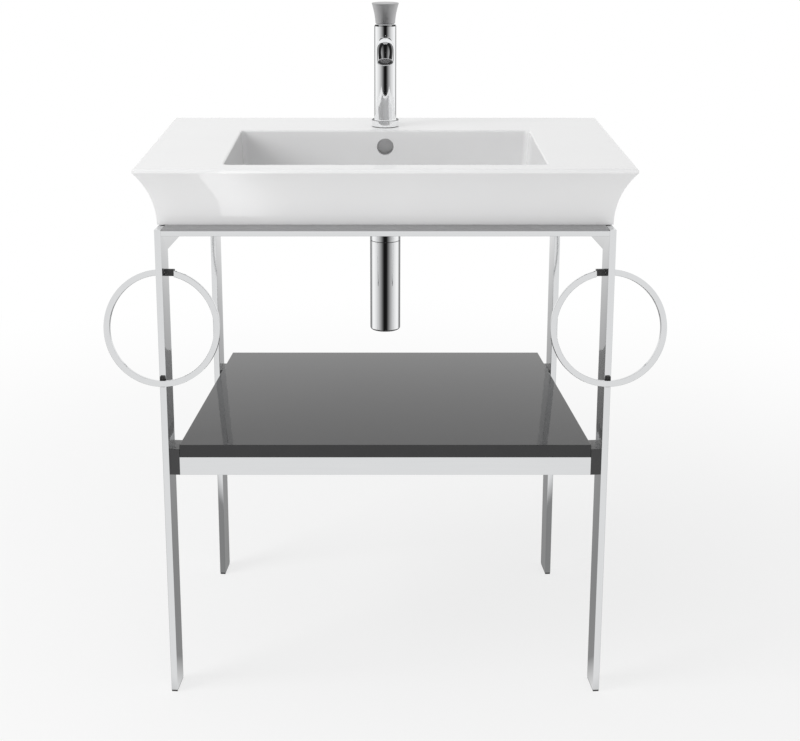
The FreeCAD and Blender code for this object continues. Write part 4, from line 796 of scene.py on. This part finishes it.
# %% Floor card
card_half = 3.6
card_height = 0.002
distance_tones = [(0.06, 0.28), (0.3, 0.4), (0.58, 0.62), (0.95, 1.0)]
front_share = [(0.28, 1.0), (0.4, 0.0)]


def glossy_only(name, corners, faces):
    """A mesh that only glossy rays see, with an empty tree for its tones."""
    mesh = bpy.data.meshes.new(name)
    mesh.from_pydata(corners, [], faces)
    holder = put_in_scene(name, mesh)
    for ray in ("camera", "diffuse", "transmission", "volume_scatter", "shadow"):
        setattr(holder, f"visible_{ray}", False)
    material, tree, shader = start_finish(f"{name}_tone")
    material.cycles.emission_sampling = "NONE"
    tree.nodes.remove(shader)
    mesh.materials.append(material)
    return tree


tree = glossy_only("floor_card", square(card_half, card_height), [(0, 1, 2, 3)])
where = step(tree, "ShaderNodeTexCoord")
axes = step(tree, "ShaderNodeSeparateXYZ", {0: where.outputs["Object"]}).outputs
reach = step(tree, "ShaderNodeVectorMath", {0: where.outputs["Object"]}, operation="LENGTH")
by_distance = ramp(tree, calc(tree, "DIVIDE", reach.outputs["Value"], card_half), distance_tones)
in_front = ramp(tree, turn_of(tree, axes), front_share)
tone, mirrored = mirror_tone(tree)
not_mirrored = calc(tree, "SUBTRACT", 1.0, mirrored)
plain = product(tree, calc(tree, "MAXIMUM", by_distance, in_front), not_mirrored)
strength = calc(tree, "ADD", plain, product(tree, tone, mirrored))
shine = step(tree, "ShaderNodeEmission", {"Strength": strength})
tree.links.new(shine.outputs["Emission"], tree.nodes["Material Output"].inputs["Surface"])
print("floor card", 2 * card_half, "m")

# %% [markdown]
# The dome is a half sphere of flat faces. Its rows end just short of the top, so that no face
# is squeezed to a line.

# %% Dome
dome_radius = 3.5
columns, rows = 48, 16
top_angle = math.radians(89.8)
dome_corners, dome_faces = [], []
for column in range(columns):
    around = 2 * math.pi * column / columns
    for row in range(rows + 1):
        rise = top_angle * row / rows
        flat_radius = dome_radius * math.cos(rise)
        dome_corners.append((flat_radius * math.sin(around), flat_radius * math.cos(around),
                             card_height + dome_radius * math.sin(rise)))
for column in range(columns):
    one, other = column * (rows + 1), (column + 1) % columns * (rows + 1)
    for row in range(rows):
        dome_faces.append((one + row, one + row + 1, other + row + 1, other + row))
tree = glossy_only("studio_dome", dome_corners, dome_faces)
tone, mirrored = mirror_tone(tree)
shine = step(tree, "ShaderNodeEmission", {"Strength": tone})
clear = step(tree, "ShaderNodeBsdfTransparent")
switch = step(tree, "ShaderNodeMixShader", {
    0: mirrored, 1: clear.outputs["BSDF"], 2: shine.outputs["Emission"]})
tree.links.new(switch.outputs["Shader"], tree.nodes["Material Output"].inputs["Surface"])
print("dome", len(dome_faces), "faces")

# %% [markdown]
# ### Lamps
# The main soft box stands high on the left, so that the bowl's left wall lies in shade and its
# right wall in light. A weak one overhead lifts the deck, and one in front, below the rim,
# lifts the skirt. They give light but don't show in mirrors.

# %% Soft boxes
def soft_box(name, power, size, place, target):
    """A rectangular lamp at a place, turned to its target."""
    lamp = bpy.data.lights.new(name, "AREA")
    lamp.energy = power
    lamp.shape = "RECTANGLE"
    lamp.size, lamp.size_y = size
    holder = put_in_scene(name, lamp)
    holder.location = place
    holder.rotation_euler = (Vector(target) - Vector(place)).to_track_quat("-Z", "Y").to_euler()
    holder.visible_glossy = False


soft_box("left_soft_box", power=54.0, size=(1.6, 1.6), place=(-2.6, -1.2, 2.3), target=(0, 0, 0.8))
soft_box("top_soft_box", power=4.0, size=(0.9, 0.6), place=(-0.1, -0.1, 2.7), target=(0, 0, 0.8))
soft_box("front_soft_box", power=20.0, size=(2.0, 0.8), place=(0.2, -2.9, 0.6), target=(0, 0, 0.7))
print("lamps", len(bpy.data.lights))

# %% [markdown]
# ### Camera
# The camera stands about two and a half metres in front of the basin, a good 0.4 m above the
# rim, and looks down at about fifteen degrees. Tilting it further would bring the feet into
# the frame, but would make the legs run together more, so the lens is shifted down instead.
# A small shift to the right sets the basin a little left of the middle.

# %% Camera
camera_tilt = 14.643
camera_data = bpy.data.cameras.new("camera")
camera_data.lens = 69.66
camera_data.sensor_width = 36.0
camera_data.shift_x = 0.0184
camera_data.shift_y = -0.12
camera = put_in_scene("camera", camera_data)
camera.location = (0, -2.4778, 1.2741)
camera.rotation_euler = (math.radians(90 - camera_tilt), 0, 0)
bpy.context.scene.camera = camera
bpy.context.scene.view_settings.view_transform = "Standard"
print("camera", tuple(camera.location))
